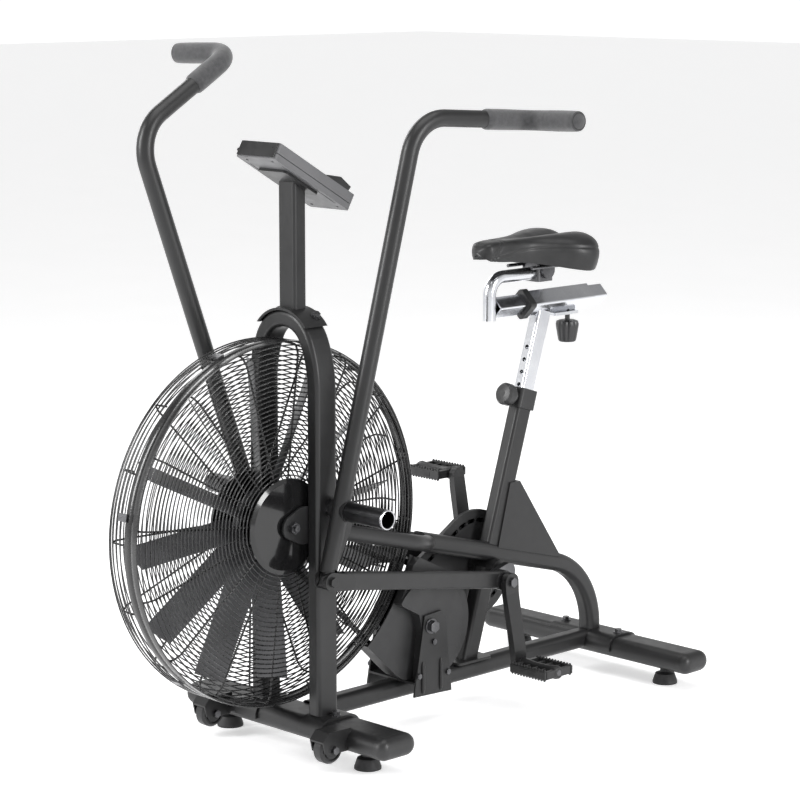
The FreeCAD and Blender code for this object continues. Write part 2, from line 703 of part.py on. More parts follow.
def make_mast():
    over = f"2*({ARCH} + hoop_wide/2)"
    at = ("0", ARCH_Z)
    ring = rod("mast_ring", f"{over} + 9.3", "fan_y + leg_back - 27", "fan_y + leg_back + 27", at, "Y")
    arch = rod("mast_arch", f"{over} + 0.3", "fan_y - 50", "fan_y + leg_back + 90", at, "Y")
    below = box("mast_below", "300", "160", "200", "0", "fan_y + leg_back", f"{ARCH_Z} + 54 - 100")
    saddle = less("mast_plate", ring, [arch, below])

    post = bar("mast_pipe", "mast_wide", "mast_deep", "6", "240", "tube_wall", middle=False)
    place(post, y="fan_y + leg_back + 2", z="hoop_bend_z + 128")
    seat = rod("mast_seat", f"{over} + 9.5", "fan_y - 50", "fan_y + leg_back + 90", at, "Y")
    above = on_console(held("mast_above", [
        box("mast_above_block", "200", "400", "80", z="40 - console_thick/2 - 5")]))
    bracket = bar("mast_head", "76", "92", "8", "5", middle=False)
    place(bracket, y="-12", z="-console_thick/2 - 5")
    head = on_console(held("mast_head_tilted", [bracket]))
    group("mast", [less("mast_coped", post, [seat, above]), saddle, head])

    for number, sign in enumerate((1, -1)):
        lean = sign * 34
        head = joined(f"mast_bolt_{number}", [
            rod(f"mast_washer_{number}", "19", "0", "1.6", axis="Z"),
            hexagon(f"mast_head_{number}", "13", "1.6", "8", ("0", "0"), "Z")])
        reach = value(ARCH) + value("hoop_wide") / 2 + 4.65
        turn = Rotation(Vector(0, 1, 0), lean)
        spot = Vector(0, value("fan_y + leg_back + 14"), value(ARCH_Z)) + turn.multVec(UP * reach)
        head.Placement = Placement(spot, turn)
        BOLTS.append(head)


def make_console():
    wide, long, thick = "console_wide", "console_long", "console_thick"
    tray = bar("tray_block", wide, long, "5", "11", middle=False)
    place(tray, z=f"-({thick})/2")
    slots = [box(f"tray_slot_{n}", "3", f"{long} - 60", "3", f"{sign}*({wide}/2 - 9)", "0",
                 f"-({thick})/2 + 0.5") for n, sign in enumerate((1, -1))]
    screws = [rod(f"tray_screw_{n}", "6", f"-({thick})/2 - 1", f"-({thick})/2 + 1.4",
                  (f"{sx}*({wide}/2 - 18)", f"{sy}*({long}/2 - 14)"), "Z")
              for n, (sx, sy) in enumerate(((1, 1), (1, -1), (-1, 1), (-1, -1)))]
    keep(on_console(less("tray_cut", tray, slots + screws)), "console_tray")

    shell = bar("shell_block", wide, long, "5", "18.6", middle=False)
    place(shell, z=f"-({thick})/2 + 12.4")
    lip = bar("shell_lip", f"{wide} - 4", f"{long} - 4", "4", "2", middle=False)
    place(lip, z=f"-({thick})/2 + 11")
    screen = box("screen_recess", "86", "74", "6", "0", "-42", f"{thick}/2 - 1")
    holes = [box(f"key_hole_{n}", "15", "9", "8", f"{x}", "14", f"{thick}/2 - 1")
             for n, x in enumerate(KEY_X)]
    keep(on_console(less("shell_cut", joined("shell_whole", [shell, lip]), [screen] + holes)),
         "console_shell")

    glass = box("screen_glass", "86", "74", "2", "0", "-42", f"{thick}/2 - 3")
    nose = bar("nose_block", f"{wide} - 6", "2.5", "1.2", f"{thick} - 5")
    place(nose, y=f"-({long})/2 - 1.25")

    rest = plate("rest_block", "YZ_Plane", [
        ("30", "0"), ("94", "0"), ("97", "12"), ("66", "17"), ("34", "5")], f"{wide} - 24")
    place(rest, z=f"{thick}/2")
    trough = plate("rest_trough", "YZ_Plane", [
        ("40", "3"), ("92", "3"), ("94", "20"), ("36", "12")], f"{wide} - 36")
    place(trough, z=f"{thick}/2 + 1")
    catch = box("tab_block", "22", "20", "5", f"-({wide})/2 - 11", "-78", "4")
    on_console(group("console_trim", [glass, nose, less("rest_cut", rest, [trough]), catch]))

    for number, x in enumerate(KEY_X, start=1):
        key = bar(f"key_{number}", "14.2", "8.2", "2", "4.4", middle=False)
        y = "fan_y + 75 + 14*cos(console_tilt) + (console_thick/2 - 3)*sin(console_tilt)"
        z = "1061 - 14*sin(console_tilt) + (console_thick/2 - 3)*cos(console_tilt)"
        keep(place(key, str(x), y, z, tilt="-console_tilt"), f"key_{number}")


# ---- Fan and guard ---------------------------------------------------------------------

def make_guard(side, sign):
    """One half of the wire guard, drawn about Z with its open side down."""
    body = new_body(f"guard_{side}")
    wire, deep, rim = "guard_wire", "guard_half", "guard_dia/2"
    rings = sketch_on(body, "XZ_Plane")
    for radius, height in (
            (f"guard_eye/2 + {wire}/2", f"{deep} - {wire}/2"),
            (f"(guard_eye/2 + {rim} - 24)/2", f"{deep} - {wire}/2"),
            (f"{rim} - 24", f"{deep} - {wire}/2"),
            (f"{rim} - {wire}/2", "6")):
        r, h, half = radius, height, f"{wire}/2"
        polygon(rings, [(f"{r} - {half}", f"{h} - {half}"), (f"{r} + {half}", f"{h} - {half}"),
                        (f"{r} + {half}", f"{h} + {half}"), (f"{r} - {half}", f"{h} + {half}")])
    turn = body.newObject("PartDesign::Revolution", f"guard_{side}_rings")
    turn.Profile = rings
    turn.ReferenceAxis = (rings, ["V_Axis"])
    turn.Angle = 360

    spoke = sketch_on(body, "XZ_Plane")
    polygon(spoke, [
        ("guard_eye/2 - 12", f"{deep} - 7"), (f"{rim} - 24", f"{deep} - 7"),
        (f"{rim} - 10", f"{deep} - 14"), (f"{rim} - 6.5", f"{deep} - 20"), (f"{rim} - 6.5", "4"),
        (f"{rim} - 3", "4"), (f"{rim} - 3", f"{deep} - 18"), (f"{rim} - 7.5", f"{deep} - 11"),
        (f"{rim} - 23", f"{deep} - 3.5"), ("guard_eye/2 - 12", f"{deep} - 3.5")])
    bar_one = pad(body, spoke, "guard_wire - 0.5")
    around(body, bar_one, "16")
    flat = Rotation(Vector(0, 1, 0), 90 * sign)
    lean = Rotation(Vector(1, 0, 0), 6.7 if sign > 0 else 1.5)
    keep(place(body, f"{sign}*0.2", "fan_y", "fan_z", lean.multiply(flat)), f"guard_{side}")

    disc = turned(f"guard_disc_{side}", [
        ("6.2", "0"), ("disc_dia/2", "0"), ("disc_dia/2", "2"), ("disc_dia/2 - 8", "5"),
        ("26", "8"), ("6.2", "8")])
    return place(disc, f"{sign}*(guard_half + 0.4)", "fan_y", "fan_z", flat)


def make_guards():
    group("guard_discs", [make_guard(side, sign) for side, sign in SIDES])
    at = ("fan_y", "fan_z")
    nuts = [hexagon(f"axle_nut_{side}", "19", *span(sign, "68", "77"), at) for side, sign in SIDES]
    keep(joined("fan_axle_whole", [rod("fan_axle_rod", "12", "-82", "82", at)] + nuts), "fan_axle")

    for number in range(6):
        strap = box(f"guard_clip_{number}_strap", "22", "14", "3.5", z="guard_dia/2 + 1.85")
        clip = held(f"guard_clip_{number}", [strap])
        BOLTS.append(place(clip, "0", *at, tilt=str(60 * number + 20)))


def make_fan():
    hub = turned("hub_spool", [
        ("6.05", "-42"), ("22", "-42"), ("22", "-24"), ("hub_dia/2", "-20"), ("hub_dia/2", "-14"),
        ("22", "-10"), ("14", "10"), ("14", "chain_two_x + 14"), ("6.05", "chain_two_x + 14")])
    flat = Rotation(Vector(0, 1, 0), 90)
    wheel = sprocket("fan_sprocket", "small_teeth", "27")
    place(wheel, z="chain_two_x")
    keep(place(joined("fan_hub_whole", [hub, wheel]), "0", "fan_y", "fan_z", flat), "fan_hub")

    blades = new_body("fan_blades")
    ring = sketch_on(blades, "XZ_Plane")
    polygon(ring, [("hub_dia/2 + 0.1", "-24"), ("hub_dia/2 + 6", "-24"), ("hub_dia/2 + 6", "-10"),
                   ("hub_dia/2 + 0.1", "-10")])
    turn = blades.newObject("PartDesign::Revolution", "fan_blade_ring")
    turn.Profile = ring
    turn.ReferenceAxis = (ring, ["V_Axis"])
    turn.Angle = 360
    edge = sketch_on(blades, "YZ_Plane", "hub_dia/2 + 3")
    a, b = "blade_wide/2*sin(blade_pitch)", "blade_wide/2*cos(blade_pitch)"
    c, d = "cos(blade_pitch)", "sin(blade_pitch)"
    polygon(edge, [(f"{a} - {c}", f"{b} + {d} - 17"), (f"-({a}) - {c}", f"-({b}) + {d} - 17"),
                   (f"-({a}) + {c}", f"-({b}) - {d} - 17"), (f"{a} + {c}", f"{b} - {d} - 17")])
    blade = pad(blades, edge, "blade_tip - hub_dia/2 - 3", middle=False)
    around(blades, blade, "blade_count")
    lean = Rotation(Vector(1, 0, 0), 4.5)
    keep(place(blades, y="fan_y", z="fan_z", rotation=lean.multiply(flat)), "fan_blades")


# ---- Drive -----------------------------------------------------------------------------

def sprocket(name, teeth, bore, thick="3"):
    """A chain wheel about Z, its teeth trapezoids on the root circle."""
    pitch_r = f"pitch/2/sin(180/{teeth})"
    body = new_body(name)
    blank = sketch_on(body, "XY_Plane")
    circle(blank, f"2*({pitch_r}) - 7")
    circle(blank, bore)
    pad(body, blank, thick)
    tooth = sketch_on(body, "XY_Plane")
    polygon(tooth, [(f"{pitch_r} - 5.5", "-3.6"), (f"{pitch_r} + 4", "-0.9"), (f"{pitch_r} + 4", "0.9"),
                    (f"{pitch_r} - 5.5", "3.6")])
    around(body, pad(body, tooth, thick), teeth)
    return body


def make_jack_shaft():
    shaft = rod("jack_rod", "15", "-70", "74", axis="Z")
    big = sprocket("jack_big", "big_teeth", "14")
    place(big, z="chain_two_x")
    small = sprocket("jack_small", "small_teeth", "14")
    place(small, z="chain_one_x")
    flat = Rotation(Vector(0, 1, 0), 90)
    whole = joined("jack_shaft_whole", [shaft, big, small])
    keep(place(whole, "0", "fan_y + shaft_back", "shaft_z", flat), "jack_shaft")


def make_drive_bracket():
    pieces = [box("drive_floor", "124", "92", "4", "0", "fan_y + 360", "stab_z + 7 + frame_tube/2 + 2")]
    outline = [("338", "212"), ("383", "216"), ("394", "200"), ("411", "53"), ("310", "57")]
    holes = [("15.1", "shaft_back", "shaft_z"), ("6", "362", "158"), ("6", "322", "97"), ("6", "400", "92")]
    for side, sign in SIDES:
        wall = plate(f"drive_wall_{side}", "YZ_Plane", outline, "4", holes)
        pieces.append(place(wall, f"{sign}*64", "fan_y"))
        for number, (dia, back, z) in enumerate(holes[1:]):
            at = (f"fan_y + {back}", z)
            neck = rod(f"drive_neck_{side}_{number}", "6", *span(sign, "62", "70.5"), at)
            head = hexagon(f"drive_head_{side}_{number}", "10", *span(sign, "66", "70"), at)
            BOLTS.append(joined(f"drive_bolt_{side}_{number}", [neck, head]))
    keep(joined("drive_bracket_whole", pieces), "drive_bracket")


CASE_TURN = "180 deg - atan((fan_z - shaft_z)/shaft_back)"
CASE_REACH = "sqrt((fan_z - shaft_z)^2 + shaft_back^2)"


def case_outline(name, grow, start, end):
    """The tapered outline round the second chain, grown outwards."""
    body = link(name, (f"224 + 2*({grow})", "0", "0"), (f"96 + 2*({grow})", CASE_REACH, "0"), start, end)
    return place(body, y="fan_y + shaft_back", z="shaft_z", tilt=CASE_TURN)


def clear_of_guard(name):
    return rod(name, "guard_dia + 10", "-80", "80", ("fan_y", "fan_z"))


def make_covers():
    floor = "stab_z + 7 + frame_tube/2 + 4"
    case = case_outline("case_outside", "0", "6", "40")
    hollow = case_outline("case_hollow", "-5", "5", "37")
    under = box("case_under", "200", "400", "60", "0", "fan_y + shaft_back", f"{floor} - 30")
    shaft = rod("case_shaft", "24", "-80", "80", ("fan_y + shaft_back", "shaft_z"))
    keep(less("case_cut", case, [hollow, under, clear_of_guard("case_guard"), shaft]), "chain_case")

    whole = case_outline("cover_outside", "0", "40", "56")
    step = rod("cover_step", "184", "54", "61", ("fan_y + shaft_back", "shaft_z"))
    notch = plate("cover_notch", "YZ_Plane", [
        ("333", "325"), ("270", "275"), ("283", "240"), ("328", "215"), ("338", "173"), ("328", "60"),
        ("100", "60"), ("100", "420"), ("333", "420")], "120")
    place(notch, "40", "fan_y")
    under_two = box("cover_under", "200", "400", "60", "0", "fan_y + shaft_back", f"{floor} - 30")
    shaft_two = rod("cover_shaft", "34", "-80", "80", ("fan_y + shaft_back", "shaft_z"))
    cover = joined("cover_whole", [whole, step])
    keep(less("cover_cut", cover, [notch, under_two, clear_of_guard("cover_guard"), shaft_two]),
         "drum_cover")

    crank = ("fan_y + crank_back", "crank_z")
    jack = ("fan_y + shaft_back", "shaft_z")
    tray = link("chain_tray_outside", ("220", *crank), ("104", *jack), "-45", "-36")
    well = link("chain_tray_hollow", ("214", *crank), ("98", *jack), "-46", "-37.5")
    holes = [rod("chain_tray_shell", "26", "-80", "0", crank),
             rod("chain_tray_shaft", "24", "-80", "0", jack)]
    keep(less("chain_tray_cut", tray, [well] + holes), "chain_tray")


# ---- Cranks, pedals and rods -----------------------------------------------------------

def on_spindle(item, sign):
    turn = Rotation(Vector(1, 0, 0), 0 if sign > 0 else 180)
    return place(item, "0", "fan_y + crank_back", "crank_z", turn)


PIN = ("-throw*cos(pin_drop)", "-throw*sin(pin_drop)")
PEDAL = ("-crank_long*sin(crank_lean)", "-crank_long*cos(crank_lean)")


def make_crank(side, sign):
    """The inner link, the crank arm, the pedal's axle and the nut on one side."""
    inner = link(f"crank_link_{side}", ("36", "0", "0"), ("30", *PIN), *span(sign, "46", "59"))

    arm = link(f"crank_{side}_blank", ("36", *PIN), ("30", *PEDAL), *span(sign, "90.5", "118"))
    inward = plate(f"crank_{side}_inward", "XZ_Plane", [
        (f"{sign}*84", "-32"), (f"{sign}*90.5", "-32"), (f"{sign}*105", "5 - crank_long*cos(crank_lean)"),
        (f"{sign}*105", "-200"), (f"{sign}*84", "-200")], "200")
    outward = plate(f"crank_{side}_outward", "XZ_Plane", [
        (f"{sign}*103", "30"), (f"{sign}*103", "-30"), (f"{sign}*118", "26 - crank_long*cos(crank_lean)"),
        (f"{sign}*125", "26 - crank_long*cos(crank_lean)"), (f"{sign}*125", "30")], "200")
    shaped = less(f"crank_{side}_shaped", arm, [inward, outward])

    start, end = span(sign, "118", "218")
    axle = rod(f"pedal_axle_{side}_rod", "12", start, end, PEDAL)
    flange = rod(f"pedal_axle_{side}_flange", "19", *span(sign, "118", "122"), PEDAL)
    pedal_axle = joined(f"pedal_axle_{side}", [axle, flange])
    nut = held(f"pin_nut_{side}", [hexagon(f"pin_nut_{side}_hex", "17", *span(sign, "103", "109"), PIN)])
    return [on_spindle(item, sign) for item in (inner, shaped, pedal_axle, nut)]


def make_cranks():
    at = ("fan_y + crank_back", "crank_z")
    sides = [make_crank(side, sign) for side, sign in SIDES]
    links, arms, axles, nuts = [list(pair) for pair in zip(*sides)]
    group("crank_spindle", [rod("crank_rod", "20", "-46", "46", at)] + links)
    group("crank_arms", arms)
    group("pedal_axles", axles + nuts)
    flat = Rotation(Vector(0, 1, 0), 90)
    wheel = place(sprocket("crank_wheel", "crank_teeth", "20"), "chain_one_x", *at, flat)
    disc = less("crank_disc", rod("crank_disc_plate", "206", "-44.5", "-42.5", at),
                [rod("crank_disc_bore", "20", "-60", "0", at)])
    group("crank_sprocket", [wheel, disc])

    for side, sign in SIDES:
        barrel = box(f"pedal_{side}_barrel", "84", "28", "20")
        frame = box(f"pedal_{side}_frame", "95", "80", "24")
        windows = [box(f"pedal_{side}_window_{n}", "83", "19", "40", y=y)
                   for n, y in enumerate(("23.5", "-23.5"))]
        bore = rod(f"pedal_{side}_bore", "12.1", "-60", "60")
        body = less(f"pedal_{side}_cut", joined(f"pedal_{side}_whole", [frame, barrel]), windows + [bore])
        y = f"fan_y + crank_back - {sign}*crank_long*sin(crank_lean)"
        z = f"crank_z - {sign}*crank_long*cos(crank_lean)"
        keep(place(body, f"{sign}*171", y, z), f"pedal_{side}")


def make_rod(side, sign, swing):
    """A connecting rod, drawn about its front eye with +Y towards the crank."""
    long = "rod_long"
    front = link(f"rod_{side}_fork", ("34", "0", "0"), ("30", "44", "0"), *span(sign, "104", "136"))
    gap = box(f"rod_{side}_gap", "25", "60", "60", f"{sign}*fork_x", "-4")
    bore = rod(f"rod_{side}_bore", "10.1", "-200", "200")
    yoke = less(f"rod_{side}_yoke", front, [gap, bore])

    beam = new_body(f"rod_{side}_beam")
    sections = []
    for station in ("40", f"{long} - 14"):
        section = sketch_on(beam, "XZ_Plane", f"-({station})")
        bind(section, "AttachmentOffset.Base.x", f"{sign}*(fork_x - (fork_x - eye_x)*({station})/{long})")
        rounded(section, "17", "34", "5")
        sections.append(section)
    loft = beam.newObject("PartDesign::AdditiveLoft", f"rod_{side}_loft")
    loft.Profile = sections[0]
    loft.Sections = sections[1:]
    loft.Ruled = True

    across = span(sign, "eye_x - eye_wide/2", "eye_x + eye_wide/2")
    eye = rod(f"rod_{side}_eye", "eye_dia", *across, (long, "0"))
    bolt = joined(f"rod_{side}_bolt", [
        rod(f"rod_{side}_shank", "9.9", *span(sign, "100", "140")),
        hexagon(f"rod_{side}_head", "16", *span(sign, "136", "142")),
        hexagon(f"rod_{side}_nut", "16", *span(sign, "98", "104"))])
    whole = joined(f"rod_{side}_whole", [yoke, beam, eye, bolt])
    eye_back = f"(pivot_back - eye_ahead*cos({swing}) + eye_below*sin({swing}))"
    eye_z = f"(pivot_z - eye_ahead*sin({swing}) - eye_below*cos({swing}))"
    pin_back = f"(crank_back - {sign}*throw*cos(pin_drop))"
    pin_z = f"(crank_z - {sign}*throw*sin(pin_drop))"
    tilt = f"-atan(({eye_z} - {pin_z})/({pin_back} - {eye_back}))"
    keep(place(whole, "0", f"fan_y + {eye_back}", eye_z, tilt=tilt), f"rod_{side}")


# ---- Arms ------------------------------------------------------------------------------

def make_arm(side, sign, swing):
    """A handlebar, drawn about its pivot as it stands with the rod at full reach."""
    dia = value("arm_tube")

    def spot(x, y, z):
        return Vector(sign * x, y, z)

    foot, knee = spot(119.5, -40, -136), spot(149.5, 160.1, 698.4)
    elbow, tip = spot(171.5, 434.6, 682.1), spot(307.2, 419.3, 687)
    points, radii = [foot, knee, elbow, tip], [78, 40]
    outside = swept_round(points, radii, dia)
    inside = swept_round(points, radii, dia - 2 * value("tube_wall"))
    tube = doc.addObject("Part::Feature", f"arm_{side}_pipe")
    tube.Shape = outside.cut(inside)

    boss = rod(f"arm_{side}_boss", "40", *span(sign, "104", "142"))
    eye = rod(f"arm_{side}_eye", "32", *span(sign, "108", "132"), ("-eye_ahead", "-eye_below"))
    blank = joined(f"arm_{side}_blank", [
        rod(f"arm_{side}_boss_blank", "40.2", "-200", "200"),
        rod(f"arm_{side}_eye_blank", "45", "-200", "200", ("-eye_ahead", "-eye_below")),
        box(f"arm_{side}_foot_blank", "500", "120", "60", "0", "-40", "-eye_below - 30 - 4")])
    split = less(f"arm_{side}_split", tube, [blank])
    neck = doc.addObject("Part::Feature", f"arm_{side}_neck")
    neck.Shape = Part.makeCylinder(11.2, 48, spot(120, -36.7, -124.6), (knee - foot).normalize())

    boss_bore = rod(f"arm_{side}_boss_bore", "20.1", "-200", "200")
    eye_bore = rod(f"arm_{side}_eye_bore", "10", "-200", "200", ("-eye_ahead", "-eye_below"))
    web = plate(f"arm_{side}_web", "YZ_Plane", [
        ("8", "8"), ("36", "-6"), ("-22", "-eye_below + 4"), ("-34", "-eye_below + 10")], "5")
    place(web, f"{sign}*121")
    lever = less(f"arm_{side}_lever", joined(f"arm_{side}_rings", [boss, eye, neck, web]),
                 [boss_bore, eye_bore])
    tube_blank = swept_round(points, radii, dia + 0.01)
    core = doc.addObject("Part::Feature", f"arm_{side}_core")
    core.Shape = tube_blank.cut(swept_round(points, radii, dia - 2 * value("tube_wall") - 0.01))
    whole = group(f"arm_{side}", [split, less(f"arm_{side}_lever_clear", lever, [core])])
    place(whole, "0", "fan_y + pivot_back", "pivot_z", tilt=swing)

    start = knee + (elbow - knee) * 0.58
    outward = (tip - elbow).normalize()
    sleeve = swept_round([start, elbow, tip + outward * 4], [40], value("grip_dia"))
    core = swept_round([start, elbow, tip + outward * 0.3], [40], dia + 0.5)
    grip = doc.addObject("Part::Feature", f"grip_{side}_foam")
    grip.Shape = sleeve.cut(core)
    keep(place(grip, "0", "fan_y + pivot_back", "pivot_z", tilt=swing), f"grip_{side}")


def make_peg(side, sign):
    """The spindle that an arm turns on, and the foot peg at its end."""
    at = ("fan_y + pivot_back", "pivot_z")
    spindle = joined(f"arm_spindle_{side}_whole", [
        rod(f"arm_spindle_{side}_boss", "32", *span(sign, "leg_x + hoop_wide/2", "103.5"), at),
        rod(f"arm_spindle_{side}_rod", "20", *span(sign, "leg_x + hoop_wide/2", "peg_from"), at)])
    tube = rod(f"peg_{side}_tube", "peg_dia", *span(sign, "peg_from", "peg_to"), at)
    hollow = rod(f"peg_{side}_hollow", "peg_dia - 5", *span(sign, "peg_from + 6", "peg_to + 5"), at)
    return spindle, less(f"peg_{side}", tube, [hollow])


# ---- Seat ------------------------------------------------------------------------------

def make_seat_post():
    wide, deep = "(seat_wide - 2*tube_wall - 0.6)", "(seat_deep - 2*tube_wall - 0.6)"
    post = bar("post_pipe", wide, deep, "4.7", "post_long + 22", "tube_wall", middle=False)
    place(post, z="post_top - post_long")
    holes = []
    for step in range(-3, 5):
        height = f"collar_from + 19 + {step}*hole_pitch"
        holes.append(rod(f"post_hole_{step + 3}", "9", "-40", "0", ("0", height), "Y"))
    drilled = less("post_drilled", post, holes)
    sleeve_cut = diamond("post_sleeve_blank", f"sleeve_side + {FIT}", "300")
    place(sleeve_cut, y="fan_y + 770", z="slide_z", rotation=Rotation(Vector(0, 1, 0), 45))
    keep(less("post_coped", on_seat(drilled, "0"), [sleeve_cut]), "seat_post")

    collar = bar("collar_block", "seat_wide + 9", "seat_deep + 9", "9", "collar_long + 3", middle=False)
    place(collar, z="collar_from")
    boss = rod("collar_boss", "24", "-seat_deep/2 - 12", "0", ("0", "collar_from + 19"), "Y")
    socket = bar("collar_socket", f"seat_wide + {FIT}", f"seat_deep + {FIT}", "seat_corner",
                 "collar_long - 2.9", middle=False)
    place(socket, z="collar_from - 0.1")
    mouth = bar("collar_mouth", f"{wide} + 0.8", f"{deep} + 0.8", "5", "collar_long*2", middle=False)
    place(mouth, z="collar_from - 1")
    bore = rod("collar_bore", "12.2", "-60", "0", ("0", "collar_from + 19"), "Y")
    keep(on_seat(less("collar_cut", joined("collar_whole", [collar, boss]), [socket, mouth, bore]), "0"),
         "seat_collar")

    knob = turned("pin_knob", [
        ("0", "-2"), ("4.4", "-2"), ("4.4", "0.4"), ("6", "0.4"), ("6", "12.2"), ("17", "12.2"),
        ("20", "15"), ("22", "20"), ("22", "33"), ("18", "38"), ("8", "40"), ("0", "40")])
    lean = "90 - seat_tilt"
    y = "fan_y + seat_back + (collar_from + 19)*sin(seat_tilt) - (seat_deep/2)*cos(seat_tilt)"
    z = "crank_z + (collar_from + 19)*cos(seat_tilt) + (seat_deep/2)*sin(seat_tilt)"
    keep(place(knob, "0", y, z, tilt=lean), "pull_pin")


def diamond(name, side, length, wall=None, corner="4"):
    """A square bar along Y, to be stood on its edge."""
    return bar(name, side, side, corner, length, wall, role="XZ_Plane")


def make_slide():
    edge = Rotation(Vector(0, 1, 0), 45)
    wall = "(sleeve_side - slide_side - 0.5)/2"
    sleeve = diamond("sleeve_pipe", "sleeve_side", "186", wall)
    place(sleeve, y="fan_y + 675 + 93", z="slide_z", rotation=edge)
    cap = diamond("sleeve_cap_block", "46", "16", corner="7")
    place(cap, y="fan_y + 676", z="slide_z", rotation=edge)
    hole = diamond("sleeve_cap_hole", "slide_side + 0.6", "40", corner="4")
    place(hole, y="fan_y + 676", z="slide_z", rotation=edge)
    seat = diamond("sleeve_cap_seat", f"sleeve_side + {FIT}", "40", corner="4")
    place(seat, y="fan_y + 675 + 19.9", z="slide_z", rotation=edge)
    keep(less("sleeve_cap_cut", cap, [hole, seat]), "slide_bushing")

    nut = bar("slide_nut_plate", "25", "68", "4", "6", middle=False)
    place(nut, y="fan_y + 793", z="slide_z - 31")
    screw_way = rod("slide_nut_way", "10.2", "slide_z - 60", "slide_z", ("0", "fan_y + 806"), "Z")
    blank = diamond("slide_nut_blank", f"sleeve_side + {FIT}", "200")
    place(blank, y="fan_y + 793", z="slide_z", rotation=edge)
    group("slide_sleeve", [sleeve, less("slide_nut", nut, [screw_way, blank])])

    beam = diamond("slide_pipe", "slide_side", "311", "2.5", "3")
    place(beam, y="fan_y + 592 + 155.5", z="slide_z", rotation=edge)
    goose = rod("slide_goose_blank", f"goose_dia + {FIT}", "slide_z - 60", "slide_z + 60",
                ("0", "fan_y + 580"), "Z")
    coped = less("slide_coped", beam, [goose])

    def section(sketch):
        circle(sketch, "goose_dia")
        circle(sketch, "goose_dia - 2*tube_wall")

    neck = bent_bar("gooseneck_pipe", section, [
        ("run", "48"), ("bend", "35", "90", "right"), ("run", "137")], "YZ_Plane")
    place(neck, y="fan_y + 580", z="748")
    group("slide_bar", [coped, neck])

    knob = turned("clamp_knob_grip", [
        ("0", "-62"), ("17", "-62"), ("19", "-60"), ("24", "-24"), ("22", "-18"), ("5", "-16"),
        ("5", "0"), ("0", "0")])
    keep(place(knob, y="fan_y + 806", z="slide_z - 26.6"), "clamp_knob")


def make_saddle():
    clamp = bar("clamp_block", "40", "44", "6", "36")
    place(clamp, y="fan_y + 720", z="833")
    bore = rod("clamp_bore", f"goose_dia + {FIT}", "fan_y + 500", "fan_y + 900", ("0", "831"), "Y")
    cheeks = [rod(f"clamp_cheek_{side}", "34", *span(sign, "20", "28"), ("fan_y + 720", "838"))
              for side, sign in SIDES]
    keep(less("clamp_cut", joined("clamp_whole", [clamp] + cheeks), [bore]), "saddle_clamp")

    saddle = new_body("saddle_pad")
    stations = (
        ("545", "40", "871", "899", "12"), ("565", "54", "867", "904", "16"),
        ("620", "66", "862", "906", "18"), ("675", "104", "855", "907", "20"),
        ("725", "178", "846", "909", "24"), ("770", "saddle_wide", "838", "911", "28"),
        ("795", "saddle_wide - 24", "842", "909", "26"), ("803", "saddle_wide - 60", "852", "902", "20"))
    sections = []
    for back, wide, low, high, corner in stations:
        section = sketch_on(saddle, "XZ_Plane", f"-({back})")
        bind(section, "AttachmentOffset.Base.y", f"({low} + {high})/2")
        rounded(section, wide, f"{high} - {low}", corner)
        sections.append(section)
    loft = saddle.newObject("PartDesign::AdditiveLoft", "saddle_loft")
    loft.Profile = sections[0]
    loft.Sections = sections[1:]
    loft.Ruled = True
    place(saddle, y="fan_y")
    channel = box("saddle_channel", "74", "111", "80", "0", "fan_y + 720.5", "817")
    keep(less("saddle_hollowed", saddle, [channel]), "saddle")
    group("saddle_rails", [
        rod(f"saddle_rail_{side}", "7", "fan_y + 665", "fan_y + 776", (f"{sign}*32", "846"), "Y")
        for side, sign in SIDES])


# ---- Transport wheels -------------------------------------------------------------------

def make_wheel(side, sign):
    at = ("fan_y + wheel_back", "wheel_z")
    hood = plate(f"wheel_hood_{side}", "YZ_Plane", [
        ("36", "40"), ("36", "81"), ("-18", "81"), ("-32", "66"), ("-27", "44"), ("-5", "36"),
        ("10", "40")],
        "wheel_wide + 10")
    inside = plate(f"wheel_inside_{side}", "YZ_Plane", [
        ("25", "20"), ("25", "78"), ("-16.7", "78"), ("-44.7", "48"), ("-44.7", "20")], "wheel_wide + 4")
    for item in (hood, inside):
        place(item, f"{sign}*wheel_x", "fan_y")
    tube = flat_oval(f"wheel_tube_{side}", f"front_wide + {FIT}", f"stab_high + {FIT}", "2*front_half")
    place(tube, y="fan_y + front_back", z="stab_z")
    bore = rod(f"wheel_way_{side}", "8", "-300", "300", at)
    fork = less(f"wheel_fork_{side}", hood, [inside, tube, bore])
    wheel = turned(f"wheel_{side}", [
        ("4.05", "-wheel_wide/2"), ("17", "-wheel_wide/2"), ("17", "-wheel_wide/2 + 3"),
        ("20", "-wheel_wide/2 + 3"), ("20", "-wheel_wide/2"), ("23", "-wheel_wide/2"),
        ("wheel_dia/2", "-wheel_wide/2 + 5"), ("wheel_dia/2", "wheel_wide/2 - 5"),
        ("23", "wheel_wide/2"), ("20", "wheel_wide/2"), ("20", "wheel_wide/2 - 3"),
        ("17", "wheel_wide/2 - 3"), ("17", "wheel_wide/2"), ("4.05", "wheel_wide/2")])
    keep(place(wheel, f"{sign}*wheel_x", *at, Rotation(Vector(0, 1, 0), 90)), f"wheel_{side}")
    middle = f"{sign}*wheel_x"
    BOLTS.append(joined(f"wheel_axle_{side}", [
        rod(f"wheel_pin_{side}", "8", f"{middle} - 24", f"{middle} + 24", at),
        hexagon(f"wheel_head_{side}", "13", f"{middle} + 18.2", f"{middle} + 24", at),
        hexagon(f"wheel_nut_{side}", "13", f"{middle} - 24", f"{middle} - 18.2", at)]))
    return fork



# ---- Assembly --------------------------------------------------------------------------

